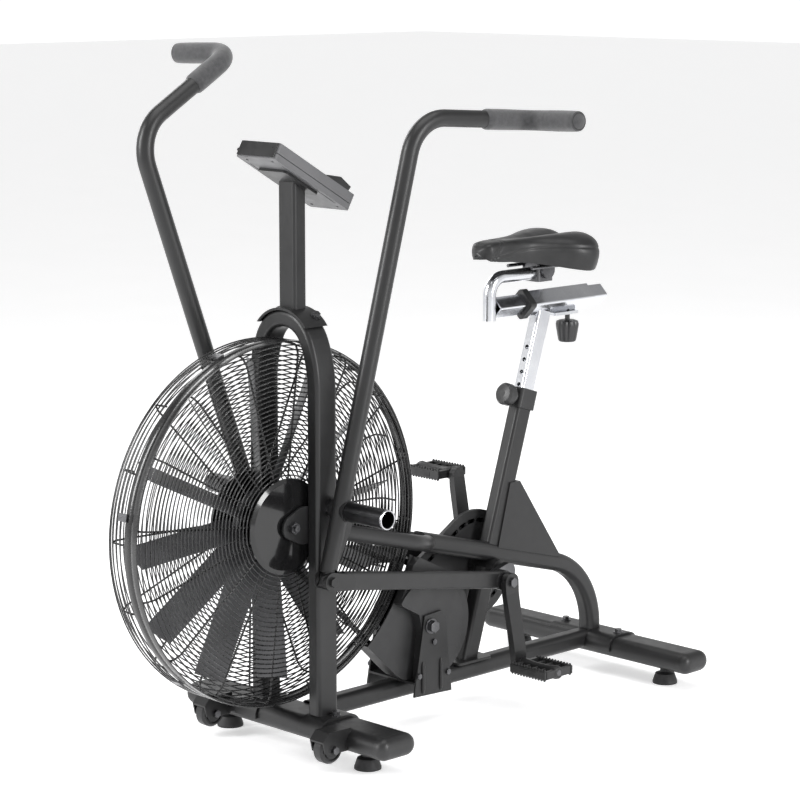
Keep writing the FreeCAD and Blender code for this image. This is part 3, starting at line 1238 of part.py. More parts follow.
make_stabilizers()
make_hoop()
make_main_tube()
make_stays()
make_lower_tube()
make_seat_mast()
make_mast()
make_console()
make_guards()
make_fan()
make_jack_shaft()
make_drive_bracket()
make_covers()
make_cranks()
for side, sign in SIDES:
    swing = "0" if side == "left" else "swing"
    make_rod(side, sign, swing)
    make_arm(side, sign, swing)
spindles, pegs = zip(*[make_peg(side, sign) for side, sign in SIDES])
group("arm_spindles", list(spindles))
group("pegs", list(pegs))
make_seat_post()
make_slide()
make_saddle()
group("frame_bolts", BOLTS)


# ---- Output --------------------------------------------------------------------------

doc.recompute()
for item in doc.Objects:
    broken = [state for state in item.State if state in ("Invalid", "Error")]
    if broken:
        raise RuntimeError(f"{item.Name} ({item.Label}) did not compute: {broken}")
os.makedirs("parts", exist_ok=True)
for item in PARTS:
    if item.Shape.isNull() or not item.Shape.isValid():
        raise RuntimeError(f"{item.Label} has no valid shape")
    item.Shape.exportStep(f"parts/{item.Label}.step")
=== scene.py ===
"""The looks of the air bike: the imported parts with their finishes, and the pieces that the
parts only outline, in metres. Lengths in the tables are millimetres; `back` is the distance
behind the fan's axle and z the height over the floor."""
import json
import math

import bpy
import numpy as np
from mathutils import Matrix, Vector


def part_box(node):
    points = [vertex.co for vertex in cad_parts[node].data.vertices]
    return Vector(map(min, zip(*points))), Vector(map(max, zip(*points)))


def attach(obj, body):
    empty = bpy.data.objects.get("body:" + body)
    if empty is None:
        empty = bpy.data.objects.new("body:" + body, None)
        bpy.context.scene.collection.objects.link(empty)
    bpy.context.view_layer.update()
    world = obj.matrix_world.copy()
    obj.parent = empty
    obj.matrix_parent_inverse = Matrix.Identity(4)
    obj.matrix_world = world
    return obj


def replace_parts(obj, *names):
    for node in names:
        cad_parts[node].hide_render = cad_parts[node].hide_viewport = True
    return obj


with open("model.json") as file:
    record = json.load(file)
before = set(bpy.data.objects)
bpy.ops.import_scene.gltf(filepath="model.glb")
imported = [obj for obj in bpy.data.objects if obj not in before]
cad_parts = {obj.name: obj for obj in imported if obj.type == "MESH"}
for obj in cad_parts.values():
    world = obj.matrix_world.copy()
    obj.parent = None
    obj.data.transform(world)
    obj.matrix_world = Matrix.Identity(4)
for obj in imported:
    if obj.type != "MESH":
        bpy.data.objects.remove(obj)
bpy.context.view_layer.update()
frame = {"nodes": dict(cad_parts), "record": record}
nodes = frame["nodes"]

MM = 0.001
axle_low, axle_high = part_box("fan_axle")
FAN_Y = (axle_low.y + axle_high.y) / 2
FAN_Z = (axle_low.z + axle_high.z) / 2 / MM
SIDES = (("left", 1), ("right", -1))


def at(x, back, z):
    """A point of the tables, in metres."""
    return Vector((x * MM, FAN_Y + back * MM, z * MM))


# ---- Finishes ---------------------------------------------------------------------------

class Finish:
    """A node material: colour that drifts, roughness that varies, and a fine surface."""

    def __init__(self, name, **shader):
        self.material = bpy.data.materials.new(name)
        self.material.use_nodes = True
        self.tree = self.material.node_tree
        self.shader = self.tree.nodes["Principled BSDF"]
        for socket, amount in shader.items():
            self.shader.inputs[socket.replace("_", " ")].default_value = amount
        self.place = self.tree.nodes.new("ShaderNodeTexCoord").outputs["Object"]
        self.normal = None

    def link(self, out, into):
        self.tree.links.new(out, into)

    def noise(self, scale, detail=3.0, stretch=None):
        node = self.tree.nodes.new("ShaderNodeTexNoise")
        node.inputs["Scale"].default_value = scale
        node.inputs["Detail"].default_value = detail
        where = self.place
        if stretch:
            mapping = self.tree.nodes.new("ShaderNodeMapping")
            mapping.inputs["Scale"].default_value = stretch
            self.link(where, mapping.inputs["Vector"])
            where = mapping.outputs["Vector"]
        self.link(where, node.inputs["Vector"])
        return node.outputs["Fac"]

    def cells(self, scale, feature="F1", out="Distance"):
        node = self.tree.nodes.new("ShaderNodeTexVoronoi")
        node.feature = feature
        node.inputs["Scale"].default_value = scale
        self.link(self.place, node.inputs["Vector"])
        return node.outputs[out]

    def spread(self, source, low, high, start=0.3, end=0.7):
        """Map a noise onto the numbers from low to high."""
        node = self.tree.nodes.new("ShaderNodeMapRange")
        for socket, amount in (("From Min", start), ("From Max", end), ("To Min", low), ("To Max", high)):
            node.inputs[socket].default_value = amount
        self.link(source, node.inputs["Value"])
        return node.outputs["Result"]

    def tint(self, source, dark, light, start=0.3, end=0.7):
        """Colour that goes from dark to light with a noise."""
        node = self.tree.nodes.new("ShaderNodeValToRGB")
        node.color_ramp.elements[0].position = start
        node.color_ramp.elements[0].color = (*dark, 1)
        node.color_ramp.elements[1].position = end
        node.color_ramp.elements[1].color = (*light, 1)
        self.link(source, node.inputs["Fac"])
        return node.outputs["Color"]

    def colour(self, source, dark, light, start=0.3, end=0.7):
        self.link(self.tint(source, dark, light, start, end), self.shader.inputs["Base Color"])
        return self

    def soften(self, radius):
        """Round the hard edges by radius, in millimetres, in the shading."""
        node = self.tree.nodes.new("ShaderNodeBevel")
        node.samples = 4
        node.inputs["Radius"].default_value = radius * MM
        self.normal = node.outputs["Normal"]
        self.link(self.normal, self.shader.inputs["Normal"])
        return self

    def rough(self, source, low, high, start=0.3, end=0.7):
        self.link(self.spread(source, low, high, start, end), self.shader.inputs["Roughness"])
        return self

    def bump(self, source, strength, distance):
        """One more layer of relief, distance in millimetres."""
        node = self.tree.nodes.new("ShaderNodeBump")
        node.inputs["Strength"].default_value = strength
        node.inputs["Distance"].default_value = distance * MM
        self.link(source, node.inputs["Height"])
        if self.normal is not None:
            self.link(self.normal, node.inputs["Normal"])
        self.normal = node.outputs["Normal"]
        self.link(self.normal, self.shader.inputs["Normal"])
        return self


def grey(level, warm=0.0):
    return (level * (1 + warm), level, level * (1 - warm) + level * 0.04)


def powder():
    """Satin black powder coat: orange peel and a fine sparkle."""
    f = Finish("powder_black", Coat_Weight=0.06, Coat_Roughness=0.3, Specular_IOR_Level=0.42)
    f.soften(0.9).colour(f.noise(9, 4), grey(0.0085), grey(0.0125))
    f.rough(f.noise(60, 3), 0.36, 0.44)
    return f.bump(f.noise(700, 2), 0.12, 0.03).bump(f.noise(2600, 2), 0.2, 0.012)


def wire():
    f = Finish("guard_gloss", Coat_Weight=0.25, Coat_Roughness=0.12, Specular_IOR_Level=0.42)
    f.colour(f.noise(40, 3), grey(0.007), grey(0.013))
    f.rough(f.noise(220, 3), 0.2, 0.34)
    return f.bump(f.noise(700, 2), 0.2, 0.05)


def gloss_disc():
    f = Finish("disc_gloss", Coat_Weight=0.45, Coat_Roughness=0.05, Specular_IOR_Level=0.3)
    f.colour(f.noise(14, 4), grey(0.006), grey(0.009))
    f.rough(f.noise(90, 5), 0.09, 0.16)
    return f.bump(f.noise(30, 2), 0.1, 0.1)


def moulded(name, dark, light, low=0.42, high=0.56, grain=1900):
    """Textured moulded plastic."""
    f = Finish(name, Specular_IOR_Level=0.5)
    f.soften(0.7).colour(f.noise(11, 4), grey(dark), grey(light))
    f.rough(f.noise(45, 4), low, high)
    return f.bump(f.cells(grain), 0.2, 0.02).bump(f.noise(24, 2), 0.06, 0.05)


def blade():
    f = Finish("blade_satin", Metallic=0.35)
    f.colour(f.noise(12, 5), grey(0.085), grey(0.13))
    f.rough(f.noise(70, 4, (1, 1, 1)), 0.3, 0.46)
    return f.bump(f.noise(300, 2), 0.2, 0.06)


def metal(name, dark, light, low, high, stretch=(1, 1, 1), scratch=420, depth=0.01):
    """Bare or plated metal with the marks of how it was finished."""
    f = Finish(name, Metallic=1.0)
    f.colour(f.noise(26, 5), grey(dark), grey(light))
    f.rough(f.noise(scratch, 4, stretch), low, high)
    return f.bump(f.noise(scratch * 1.7, 3, stretch), 0.25, depth)


def chrome(name, stretch):
    f = Finish(name, Metallic=1.0)
    f.colour(f.noise(18, 3), (0.60, 0.61, 0.64), (0.70, 0.71, 0.73))
    f.rough(f.noise(500, 4, stretch), 0.13, 0.24)
    return f.bump(f.noise(640, 3, stretch), 0.12, 0.02)


def foam():
    """Closed-cell foam: matt, pitted, a little dusty."""
    f = Finish("foam_grey", Sheen_Weight=0.35, Sheen_Roughness=0.5, Specular_IOR_Level=0.25)
    f.colour(f.noise(130, 5), grey(0.040), grey(0.068), 0.25, 0.75)
    f.rough(f.noise(60, 3), 0.82, 0.95)
    return f.bump(f.cells(900), 0.7, 0.16).bump(f.noise(160, 4), 0.4, 0.3)


def rubber(name, dark, light, low=0.5, high=0.68):
    f = Finish(name, Specular_IOR_Level=0.4)
    f.colour(f.noise(70, 5), grey(dark), grey(light))
    f.rough(f.noise(90, 4), low, high)
    return f.bump(f.noise(1100, 3), 0.35, 0.07)


def vinyl():
    """Grained black vinyl under tension."""
    f = Finish("vinyl_black", Coat_Weight=0.1, Coat_Roughness=0.25, Specular_IOR_Level=0.35)
    f.colour(f.noise(30, 5), grey(0.009), grey(0.016))
    f.rough(f.noise(55, 4), 0.36, 0.48)
    return f.bump(f.cells(620, "DISTANCE_TO_EDGE"), 0.45, 0.1).bump(f.noise(38, 3), 0.3, 0.5)


FINISHES = {
    "frame_black": powder(), "guard_black": wire(), "disc_gloss": gloss_disc(),
    "cover_black": moulded("cover_black", 0.014, 0.021),
    "blade_black": blade(), "cap_black": moulded("cap_black", 0.010, 0.016, 0.36, 0.5),
    "console_grey": moulded("console_grey", 0.085, 0.11, 0.4, 0.52, 2300),
    "console_black": moulded("console_black", 0.008, 0.013, 0.26, 0.4),
    "key_grey": moulded("key_grey", 0.16, 0.2, 0.5, 0.6),
    "zinc": metal("zinc", 0.10, 0.17, 0.24, 0.4),
    "steel": metal("steel", 0.12, 0.2, 0.24, 0.4, (0.06, 1, 1)),
    "peg_steel": metal("peg_steel", 0.05, 0.085, 0.26, 0.4, (0.05, 1, 1)),
    "post_chrome": chrome("post_chrome", (1, 1, 0.05)),
    "foam_grey": foam(), "foot_rubber": rubber("foot_rubber", 0.016, 0.03),
    "tyre_black": rubber("tyre_black", 0.012, 0.02, 0.28, 0.44), "vinyl_black": vinyl(),
    "knob_black": moulded("knob_black", 0.012, 0.02, 0.3, 0.44),
}
ENDS = metal("peg_end", 0.5, 0.68, 0.2, 0.32)
BLACKED = metal("blacked_steel", 0.03, 0.06, 0.3, 0.44)

for part in frame["record"]["subparts"]:
    mesh = nodes[part["node"]].data
    mesh.materials.clear()
    mesh.materials.append(FINISHES[part["material_slot"]].material)


# ---- Mesh building ----------------------------------------------------------------------

class Shape:
    """Corners and faces gathered from several forms, made into one piece."""

    def __init__(self):
        self.points, self.faces, self.finish = [], [], []

    def add(self, points, faces, finish=0):
        start = len(self.points)
        self.points.extend(tuple(p) for p in points)
        self.faces.extend(tuple(start + i for i in f) for f in faces)
        self.finish.extend([finish] * len(faces))
        return self

    def grid(self, rows, wrap=True, shut=False, finish=0, ends=False):
        """A skin over rows of points; wrap joins each row's ends, shut joins the last row to the first."""
        across, count = len(rows[0]), len(rows)
        faces = []
        for i in range(count if shut else count - 1):
            for j in range(across if wrap else across - 1):
                a, b = i * across, ((i + 1) % count) * across
                k = (j + 1) % across
                faces.append((a + j, a + k, b + k, b + j))
        if ends:
            faces.append(tuple(range(across - 1, -1, -1)))
            faces.append(tuple((count - 1) * across + j for j in range(across)))
        return self.add([p for row in rows for p in row], faces, finish)

    def tube(self, path, radius, sides=8, closed=False, finish=0):
        """A round bar along a path; radius is one number in metres, or one for each point."""
        path = [Vector(p) for p in path]
        radii = radius if isinstance(radius, (list, tuple)) else [radius] * len(path)
        count = len(path)
        ways = []
        for i in range(count):
            before = path[i - 1] if i or closed else path[i]
            after = path[(i + 1) % count] if i < count - 1 or closed else path[i]
            ways.append((after - before).normalized())
        up = ways[0].orthogonal().normalized()
        rows = []
        for spot, way, r in zip(path, ways, radii):
            up = (up - way * up.dot(way)).normalized()
            side = way.cross(up)
            rows.append([spot + (up * math.cos(t) + side * math.sin(t)) * r
                         for t in (2 * math.pi * k / sides for k in range(sides))])
        return self.grid(rows, shut=closed, ends=not closed, finish=finish)

    def lathe(self, profile, centre, steps=96, finish=0, shut=True):
        """A ring about X: profile holds (x, radius) in millimetres, centre is (back, z)."""
        rows = []
        for k in range(steps):
            t = 2 * math.pi * k / steps
            rows.append([at(x, centre[0] + r * math.sin(t), centre[1] + r * math.cos(t)) for x, r in profile])
        return self.grid(rows, wrap=shut, shut=True, finish=finish)

    def block(self, low, high, finish=0, inset=0.0):
        """A box between two corners in millimetres of the tables, its top drawn in by inset."""
        points = []
        for z, cut in ((low[2], 0.0), (high[2], inset)):
            for x, back in ((low[0] + cut, low[1] + cut), (high[0] - cut, low[1] + cut),
                            (high[0] - cut, high[1] - cut), (low[0] + cut, high[1] - cut)):
                points.append(at(x, back, z))
        faces = [(3, 2, 1, 0), (4, 5, 6, 7)] + [(i, (i + 1) % 4, (i + 1) % 4 + 4, i + 4) for i in range(4)]
        return self.add(points, faces, finish)

    def make(self, name, finishes, body, slot, smooth=35, bevel=None):
        mesh = bpy.data.meshes.new(name)
        mesh.from_pydata(self.points, [], self.faces)
        for material in finishes:
            mesh.materials.append(material)
        mesh.polygons.foreach_set("material_index", self.finish)
        mesh.validate()
        piece = bpy.data.objects.new(name, mesh)
        bpy.context.scene.collection.objects.link(piece)
        if bevel:
            edge = piece.modifiers.new("edge", "BEVEL")
            edge.width, edge.segments, edge.limit_method = bevel * MM, 2, "ANGLE"
        mesh.shade_smooth()
        mesh.set_sharp_from_angle(angle=math.radians(smooth))
        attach(piece, body)
        return piece


def paint(name):
    return FINISHES[name].material


def circle_points(x, radius, back=0.0, z=FAN_Z, steps=128):
    return [at(x, back + radius * math.sin(2 * math.pi * k / steps), z + radius * math.cos(2 * math.pi * k / steps))
            for k in range(steps)]


def rounded_path(points, radii, steps=7):
    """Points in millimetres joined by straights, each inner corner rounded off."""
    points = [Vector(p) for p in points]
    path = [points[0]]
    for before, corner, after, radius in zip(points, points[1:], points[2:], radii):
        into, out = (corner - before).normalized(), (after - corner).normalized()
        bend = into.angle(out)
        if bend < 1e-4:
            continue
        back_off = radius * math.tan(bend / 2)
        start, centre_way = corner - into * back_off, (out - into).normalized()
        centre = corner + centre_way * (radius / math.cos(bend / 2))
        arm = start - centre
        axis = into.cross(out).normalized()
        path += [centre + Matrix.Rotation(bend * k / steps, 3, axis) @ arm for k in range(steps + 1)]
    return path + [points[-1]]


# ---- Guard ------------------------------------------------------------------------------

WIRE, SPOKE_WIRE = 2.7, 3.8
RING_FIRST, RING_LAST, RING_PITCH = 93.0, 311.0, 8.38
SPOKES = 16
PHASE = {"left": 6.7, "right": 1.5}
RIM_RINGS = (8.0, 18.0, 28.0, 38.0)


def make_guard(side, sign):
    """One half of the wire guard: fine rings over sixteen bent spokes, and its rim."""
    wires = Shape()
    count = round((RING_LAST - RING_FIRST) / RING_PITCH)
    for n in range(count + 1):
        radius = RING_FIRST + n * (RING_LAST - RING_FIRST) / count
        wires.tube(circle_points(sign * 48.2, radius), WIRE / 2 * MM, 6, closed=True)
    for x, radius in ((46.4, 320.0), (41.5, 328.0)):
        wires.tube(circle_points(sign * x, radius), WIRE / 2 * MM, 6, closed=True)
    if side == "right":
        for x in RIM_RINGS:
            wires.tube(circle_points(sign * x, 333.3), WIRE / 2 * MM, 6, closed=True)
    else:
        strip = [(4.0, 332.6), (4.6, 334.6), (11.0, 335.3), (18.6, 334.6), (20.4, 333.2), (22.2, 334.6),
                 (30.0, 335.3), (36.6, 334.6), (37.4, 332.6), (36.4, 333.4), (30.0, 334.1), (22.6, 333.4),
                 (20.4, 332.0), (18.2, 333.4), (11.0, 334.1), (5.2, 333.4)]
        wires.lathe(strip, (0.0, FAN_Z), 144)
    for n in range(SPOKES):
        turn = math.radians(360.0 * n / SPOKES + PHASE[side])
        flat = [(80.0, 45.0), (312.0, 45.0), (329.0, 37.0), (330.4, 5.0)]
        route = rounded_path([(0.0, r, x) for r, x in flat], [14.0, 9.0], 5)
        path = [at(sign * p.z, p.y * math.sin(turn), FAN_Z + p.y * math.cos(turn)) for p in route]
        wires.tube(path, SPOKE_WIRE / 2 * MM, 8)
    wires.lathe([(45.4, 78.0), (47.6, 78.0), (47.6, 84.0), (45.4, 84.0)] if sign > 0 else
                [(-47.6, 78.0), (-45.4, 78.0), (-45.4, 84.0), (-47.6, 84.0)], (0.0, FAN_Z), 72)
    piece = wires.make(f"guard_{side}_wires", [paint("guard_black")], "frame", "guard_black", smooth=60)
    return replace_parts(piece, f"guard_{side}")


for side, sign in SIDES:
    make_guard(side, sign)


# ---- Grips and saddle -------------------------------------------------------------------

ARM_FOOT, ARM_KNEE = (119.5, -40.0, -136.0), (149.5, 160.1, 698.4)
ARM_ELBOW, ARM_TIP = (171.5, 434.6, 682.1), (307.2, 419.3, 687.0)
ARM_TURN = {"left": 0.0, "right": 32.4}
PIVOT = (71.7, 466.0)


def arm_point(side, sign, p):
    """A point of an arm as drawn about its pivot, where the arm stands."""
    turn = math.radians(ARM_TURN[side])
    back = p[1] * math.cos(turn) - p[2] * math.sin(turn)
    z = p[1] * math.sin(turn) + p[2] * math.cos(turn)
    return at(sign * p[0], PIVOT[0] + back, PIVOT[1] + z)


def make_grip(side, sign):
    """A foam sleeve over the arm's end, its mouth rolled and its end domed."""
    knee, elbow, tip = (Vector(p) for p in (ARM_KNEE, ARM_ELBOW, ARM_TIP))
    begin = knee + (elbow - knee) * 0.58
    end = tip + (tip - elbow).normalized() * 4
    route = rounded_path([begin, elbow, end], [40.0], 14)
    path, radii = [], []
    spots = [route[0]]
    for a, b in zip(route, route[1:]):
        steps = max(1, int((b - a).length / 6))
        spots += [a + (b - a) * (k / steps) for k in range(1, steps + 1)]
    total = sum((b - a).length for a, b in zip(spots, spots[1:]))
    gone = 0.0
    for n, spot in enumerate(spots):
        gone += (spot - spots[n - 1]).length if n else 0.0
        near, far = gone, total - gone
        radius = 19.3 + 0.35 * math.sin(gone / 23.0)
        if near < 5:
            radius -= 2.6 * (1 - near / 5) ** 2
        if far < 9:
            radius = 19.3 * math.sqrt(max(0.0, 1 - ((9 - far) / 9.6) ** 2))
        path.append(arm_point(side, sign, spot))
        radii.append(max(radius, 3.0) * MM)
    foam_sleeve = Shape().tube(path, radii, 40)
    piece = foam_sleeve.make(f"grip_{side}_sleeve", [paint("foam_grey")], f"arm_{side}", "foam_grey", smooth=50)
    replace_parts(piece, f"grip_{side}")
    return piece


for side, sign in SIDES:
    make_grip(side, sign)

SADDLE_ROWS = (  # back, half width, lowest, highest, groove depth, lobe height
    (545, 18, 873, 895, 0, 0), (556, 26, 868, 901, 0, 0), (580, 30, 865, 904.5, 0, 0),
    (620, 34, 862, 906, 1.5, 0), (660, 45, 857, 906.5, 4, 0.5), (700, 70, 850, 907, 8, 1.5),
    (735, 95, 843, 907.5, 11, 2.5), (765, 105, 838.5, 908, 12, 3), (785, 101, 839, 907.5, 11, 2.5),
    (796, 90, 843, 905, 8, 1.5), (803, 74, 850, 899, 4, 0))
SADDLE_HALF = (  # share of the half width, share of the height, or of the way to the pan below
    (0.0, 1.0), (0.14, 1.0), (0.34, 1.0), (0.58, 0.985), (0.8, 0.93), (0.93, 0.80), (0.99, 0.62), (1.0, 0.46),
    (0.975, 0.28), (0.93, 0.1), (0.885, 0.0), (0.8, 0.03))
PAN_Z = 858.5


def ease(table, where, column):
    """Smooth value of a table's column at a place in its first column."""
    xs = [row[0] for row in table]
    ys = [row[column] for row in table]
    n = min(max(np.searchsorted(xs, where) - 1, 0), len(xs) - 2)
    slopes = [(ys[min(i + 1, len(xs) - 1)] - ys[max(i - 1, 0)]) /
              (xs[min(i + 1, len(xs) - 1)] - xs[max(i - 1, 0)]) for i in (n, n + 1)]
    span = xs[n + 1] - xs[n]
    t = (where - xs[n]) / span
    return ((2 * t**3 - 3 * t**2 + 1) * ys[n] + (t**3 - 2 * t**2 + t) * span * slopes[0]
            + (3 * t**2 - 2 * t**3) * ys[n + 1] + (t**3 - t**2) * span * slopes[1])


def fine_ring(points, steps):
    """A closed smooth line through points, each span cut into steps."""
    out, count = [], len(points)
    for i in range(count):
        a, b, c, d = (points[(i + k) % count] for k in (-1, 0, 1, 2))
        for k in range(steps):
            t = k / steps
            out.append(tuple(0.5 * (2 * b[m] + (c[m] - a[m]) * t + (2 * a[m] - 5 * b[m] + 4 * c[m] - d[m]) * t * t
                                    + (3 * b[m] - a[m] - 3 * c[m] + d[m]) * t**3) for m in (0, 1)))
    return out


def seam(distance, half):
    return math.exp(-(distance / half) ** 2)


def saddle_ring(back, shrink=1.0):
    """The saddle's outline across X at one place along it: (x, z) in millimetres."""
    wide, low, high = (ease(SADDLE_ROWS, back, k) for k in (1, 2, 3))
    groove, lobe = (ease(SADDLE_ROWS, back, k) for k in (4, 5))
    half = []
    for share, height in SADDLE_HALF:
        x, z = wide * share, low + (high - low) * height
        if height > 0.8:
            z += lobe * math.exp(-((share - 0.5) / 0.22) ** 2) * 1.6
            z -= groove * math.exp(-(x / 15.0) ** 2)
        half.append((x, z))
    pan = max(PAN_Z, low + 9)
    half += [(wide * 0.72, low + (pan - low) * 0.6), (wide * 0.62, pan), (wide * 0.3, pan), (0.0, pan)]
    ring = half + [(-x, z) for x, z in half[-2:0:-1]]
    middle = (low + high) / 2
    return [(x * shrink, middle + (z - middle) * shrink) for x, z in fine_ring(ring, 6)]


def make_saddle():
    """Two lobes and a nose under one tight cover, with its seams drawn in."""
    stations = [(545.0 + 12 * (1 - math.cos(a)), math.sin(a)) for a in (0.06, 0.25, 0.5, 0.8, 1.15)]
    stations += [(float(b), 1.0) for b in np.arange(557.5, 796.0, 2.2)]
    stations += [(803.0 - 8 * (1 - math.sin(a)), math.cos(a)) for a in (0.3, 0.65, 0.95, 1.2, 1.38, 1.5)]
    rows = []
    for back, shrink in stations:
        ring = saddle_ring(back, shrink)
        row = []
        for x, z in ring:
            side_line = 872 + 12 * math.sin((back - 560) / 240 * math.pi) + (back - 560) * 0.035
            outer = abs(x) > 0.45 * max(v[0] for v in ring) and z > 850
            sunk = 1.5 * seam(z - side_line, 2.2) if outer else 0.0
            nose = back - 566 - max(0.0, (z - 880)) * 0.9
            sunk += 1.1 * (seam(nose, 2.2) + seam(nose - 7, 2.2)) if z > 862 else 0.0
            pull = 1 - sunk / max(14.0, math.hypot(x, z - 880))
            row.append(at(x * pull, back, 880 + (z - 880) * pull))
        rows.append(row)
    cover = Shape().grid(rows, ends=True)
    piece = cover.make("saddle_cover", [paint("vinyl_black")], "saddle", "vinyl_black", smooth=70)
    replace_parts(piece, "saddle")
    return piece


make_saddle()


# ---- Pedals, knob, drive ----------------------------------------------------------------

def middle_of(node):
    """Middle of a part's box as (x, back, z) in millimetres."""
    low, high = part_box(node)
    spot = (low + high) / 2
    return spot.x / MM, (spot.y - FAN_Y) / MM, spot.z / MM


def make_pedal(side, sign):
    """A moulded platform: barrel, end plates, and two cage bars with toothed edges."""
    x0, back0, z0 = middle_of(f"pedal_{side}")
    body = Shape()
    steps = 40
    profile = [(-47, 6.4), (-47, 12), (-44, 13), (-30, 11), (-10, 10), (20, 11), (40, 13.5), (47, 11), (47, 6.4)]
    rows = []
    for k in range(steps):
        t = 2 * math.pi * k / steps
        rows.append([at(x0 + sign * x, back0 + r * math.sin(t), z0 + r * math.cos(t)) for x, r in profile])
    body.grid(rows, shut=True)
    for end in (-1, 1):
        body.block((x0 + end * 42 - 4, back0 - 36, z0 - 8), (x0 + end * 42 + 4, back0 + 36, z0 + 8))
    for way in (-1, 1):
        line = back0 + way * 36
        body.block((x0 - 46, line - 3.5, z0 - 8), (x0 + 46, line + 3.5, z0 + 8))
        body.block((x0 - 22, line + way * 3.5 - 0.8, z0 - 5.5), (x0 + 22, line + way * 3.5 + 0.8, z0 + 5.5), 1)
        for n in range(12):
            x = x0 - 42 + n * 84 / 11
            body.block((x - 2.6, line - 3.0, z0 + 7), (x + 2.6, line + 3.0, z0 + 12), inset=1.5)
            low = Shape().block((x - 2.6, line - 3.0, z0 + 7), (x + 2.6, line + 3.0, z0 + 12), inset=1.5)
            mirror = [(p[0], p[1], 2 * z0 * MM - p[2]) for p in low.points]
            body.add(mirror, [tuple(reversed(f)) for f in low.faces])
        for n in (-1, 0, 1):
            x = x0 + n * 20
            body.block((x - 2, back0 + min(way * 10, way * 33), z0 - 6), (x + 2, back0 + max(way * 10, way * 33), z0 + 6))
    piece = body.make(f"pedal_{side}_cage", [paint("cap_black"), paint("foot_rubber")], f"pedal_{side}",
                      "cap_black", bevel=0.7)
    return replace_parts(piece, f"pedal_{side}")


for side, sign in SIDES:
    make_pedal(side, sign)


def make_clamp_knob():
    """The fluted knob under the slide."""
    x0, back0, z0 = middle_of("clamp_knob")
    low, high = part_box("clamp_knob")
    top, bottom = high.z / MM, low.z / MM
    profile = ((0.0, 1), (14.5, 1), (17, 2.2), (18.5, 5), (22.8, 30), (23.6, 37), (22, 42.5), (16, 45), (7.5, 46),
               (5, 46), (5, 62))
    steps = 96
    rows = []
    for k in range(steps):
        t = 2 * math.pi * k / steps
        row = []
        for radius, up in profile:
            flute = 2.2 * max(0.0, math.cos(8 * t)) ** 2 if 3 < up < 44 else 0.0
            r = radius - flute
            row.append(at(x0 + r * math.cos(t), back0 + r * math.sin(t), min(bottom + up, top)))
        rows.append(row)
    knob = Shape().grid(rows, wrap=False, shut=True)
    piece = knob.make("clamp_knob_fluted", [paint("knob_black")], "clamp_knob", "knob_black", smooth=30)
    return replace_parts(piece, "clamp_knob")


make_clamp_knob()

CHAIN_PITCH = 12.7
CRANK, SHAFT = (578.0, 257.0), (355.0, 190.0)


def sprocket_radius(teeth):
    return CHAIN_PITCH / 2 / math.sin(math.pi / teeth)


def chain_route(first, first_r, second, second_r):
    """The closed line of a chain over two sprockets, as (back, z)."""
    across = math.atan2(second[1] - first[1], second[0] - first[0])
    reach = math.dist(first, second)
    lean = math.acos((first_r - second_r) / reach)

    def arc(centre, radius, start, end):
        count = max(2, int(abs(end - start) * radius / 3))
        return [(centre[0] + radius * math.cos(start + (end - start) * k / count),
                 centre[1] + radius * math.sin(start + (end - start) * k / count)) for k in range(count + 1)]

    line = arc(first, first_r, across + lean, across + 2 * math.pi - lean)
    line += arc(second, second_r, across - lean, across + lean)
    return line + [line[0]]


def make_chain(name, x, first, first_teeth, second, second_teeth):
    """A roller chain, outer and inner links in turn."""
    line = chain_route(first, sprocket_radius(first_teeth), second, sprocket_radius(second_teeth))
    length = sum(math.dist(a, b) for a, b in zip(line, line[1:]))
    count = 2 * round(length / CHAIN_PITCH / 2)
    step, pins, gone, goal = length / count, [], 0.0, 0.0
    for a, b in zip(line, line[1:]):
        part = math.dist(a, b)
        while goal <= gone + part and len(pins) < count:
            t = (goal - gone) / part
            pins.append((a[0] + (b[0] - a[0]) * t, a[1] + (b[1] - a[1]) * t))
            goal += step
        gone += part
    links = Shape()
    for n, (a, b) in enumerate(zip(pins, pins[1:] + pins[:1])):
        links.tube([at(x - 4.4, *a), at(x + 4.4, *a)], 2.1 * MM, 8)
        links.tube([at(x - 1.7, *a), at(x + 1.7, *a)], 3.9 * MM, 10)
        way = math.atan2(b[1] - a[1], b[0] - a[0])
        for sign in (-1, 1):
            inner = x + sign * (2.0 if n % 2 else 3.1)
            rows = []
            for depth in (inner, inner + sign * 0.9):
                row = []
                for centre, start in ((b, way - math.pi / 2), (a, way + math.pi / 2)):
                    row += [at(depth, centre[0] + 4.1 * math.cos(start + math.pi * k / 6),
                               centre[1] + 4.1 * math.sin(start + math.pi * k / 6)) for k in range(7)]
                rows.append(row)
            links.grid(rows, ends=True)
    return links.make(name, [BLACKED.material], "frame", "steel", smooth=40)


make_chain("chain_crank", -40.0, CRANK, 44, SHAFT, 16)
make_chain("chain_fan", 20.0, SHAFT, 48, (0.0, FAN_Z), 16)


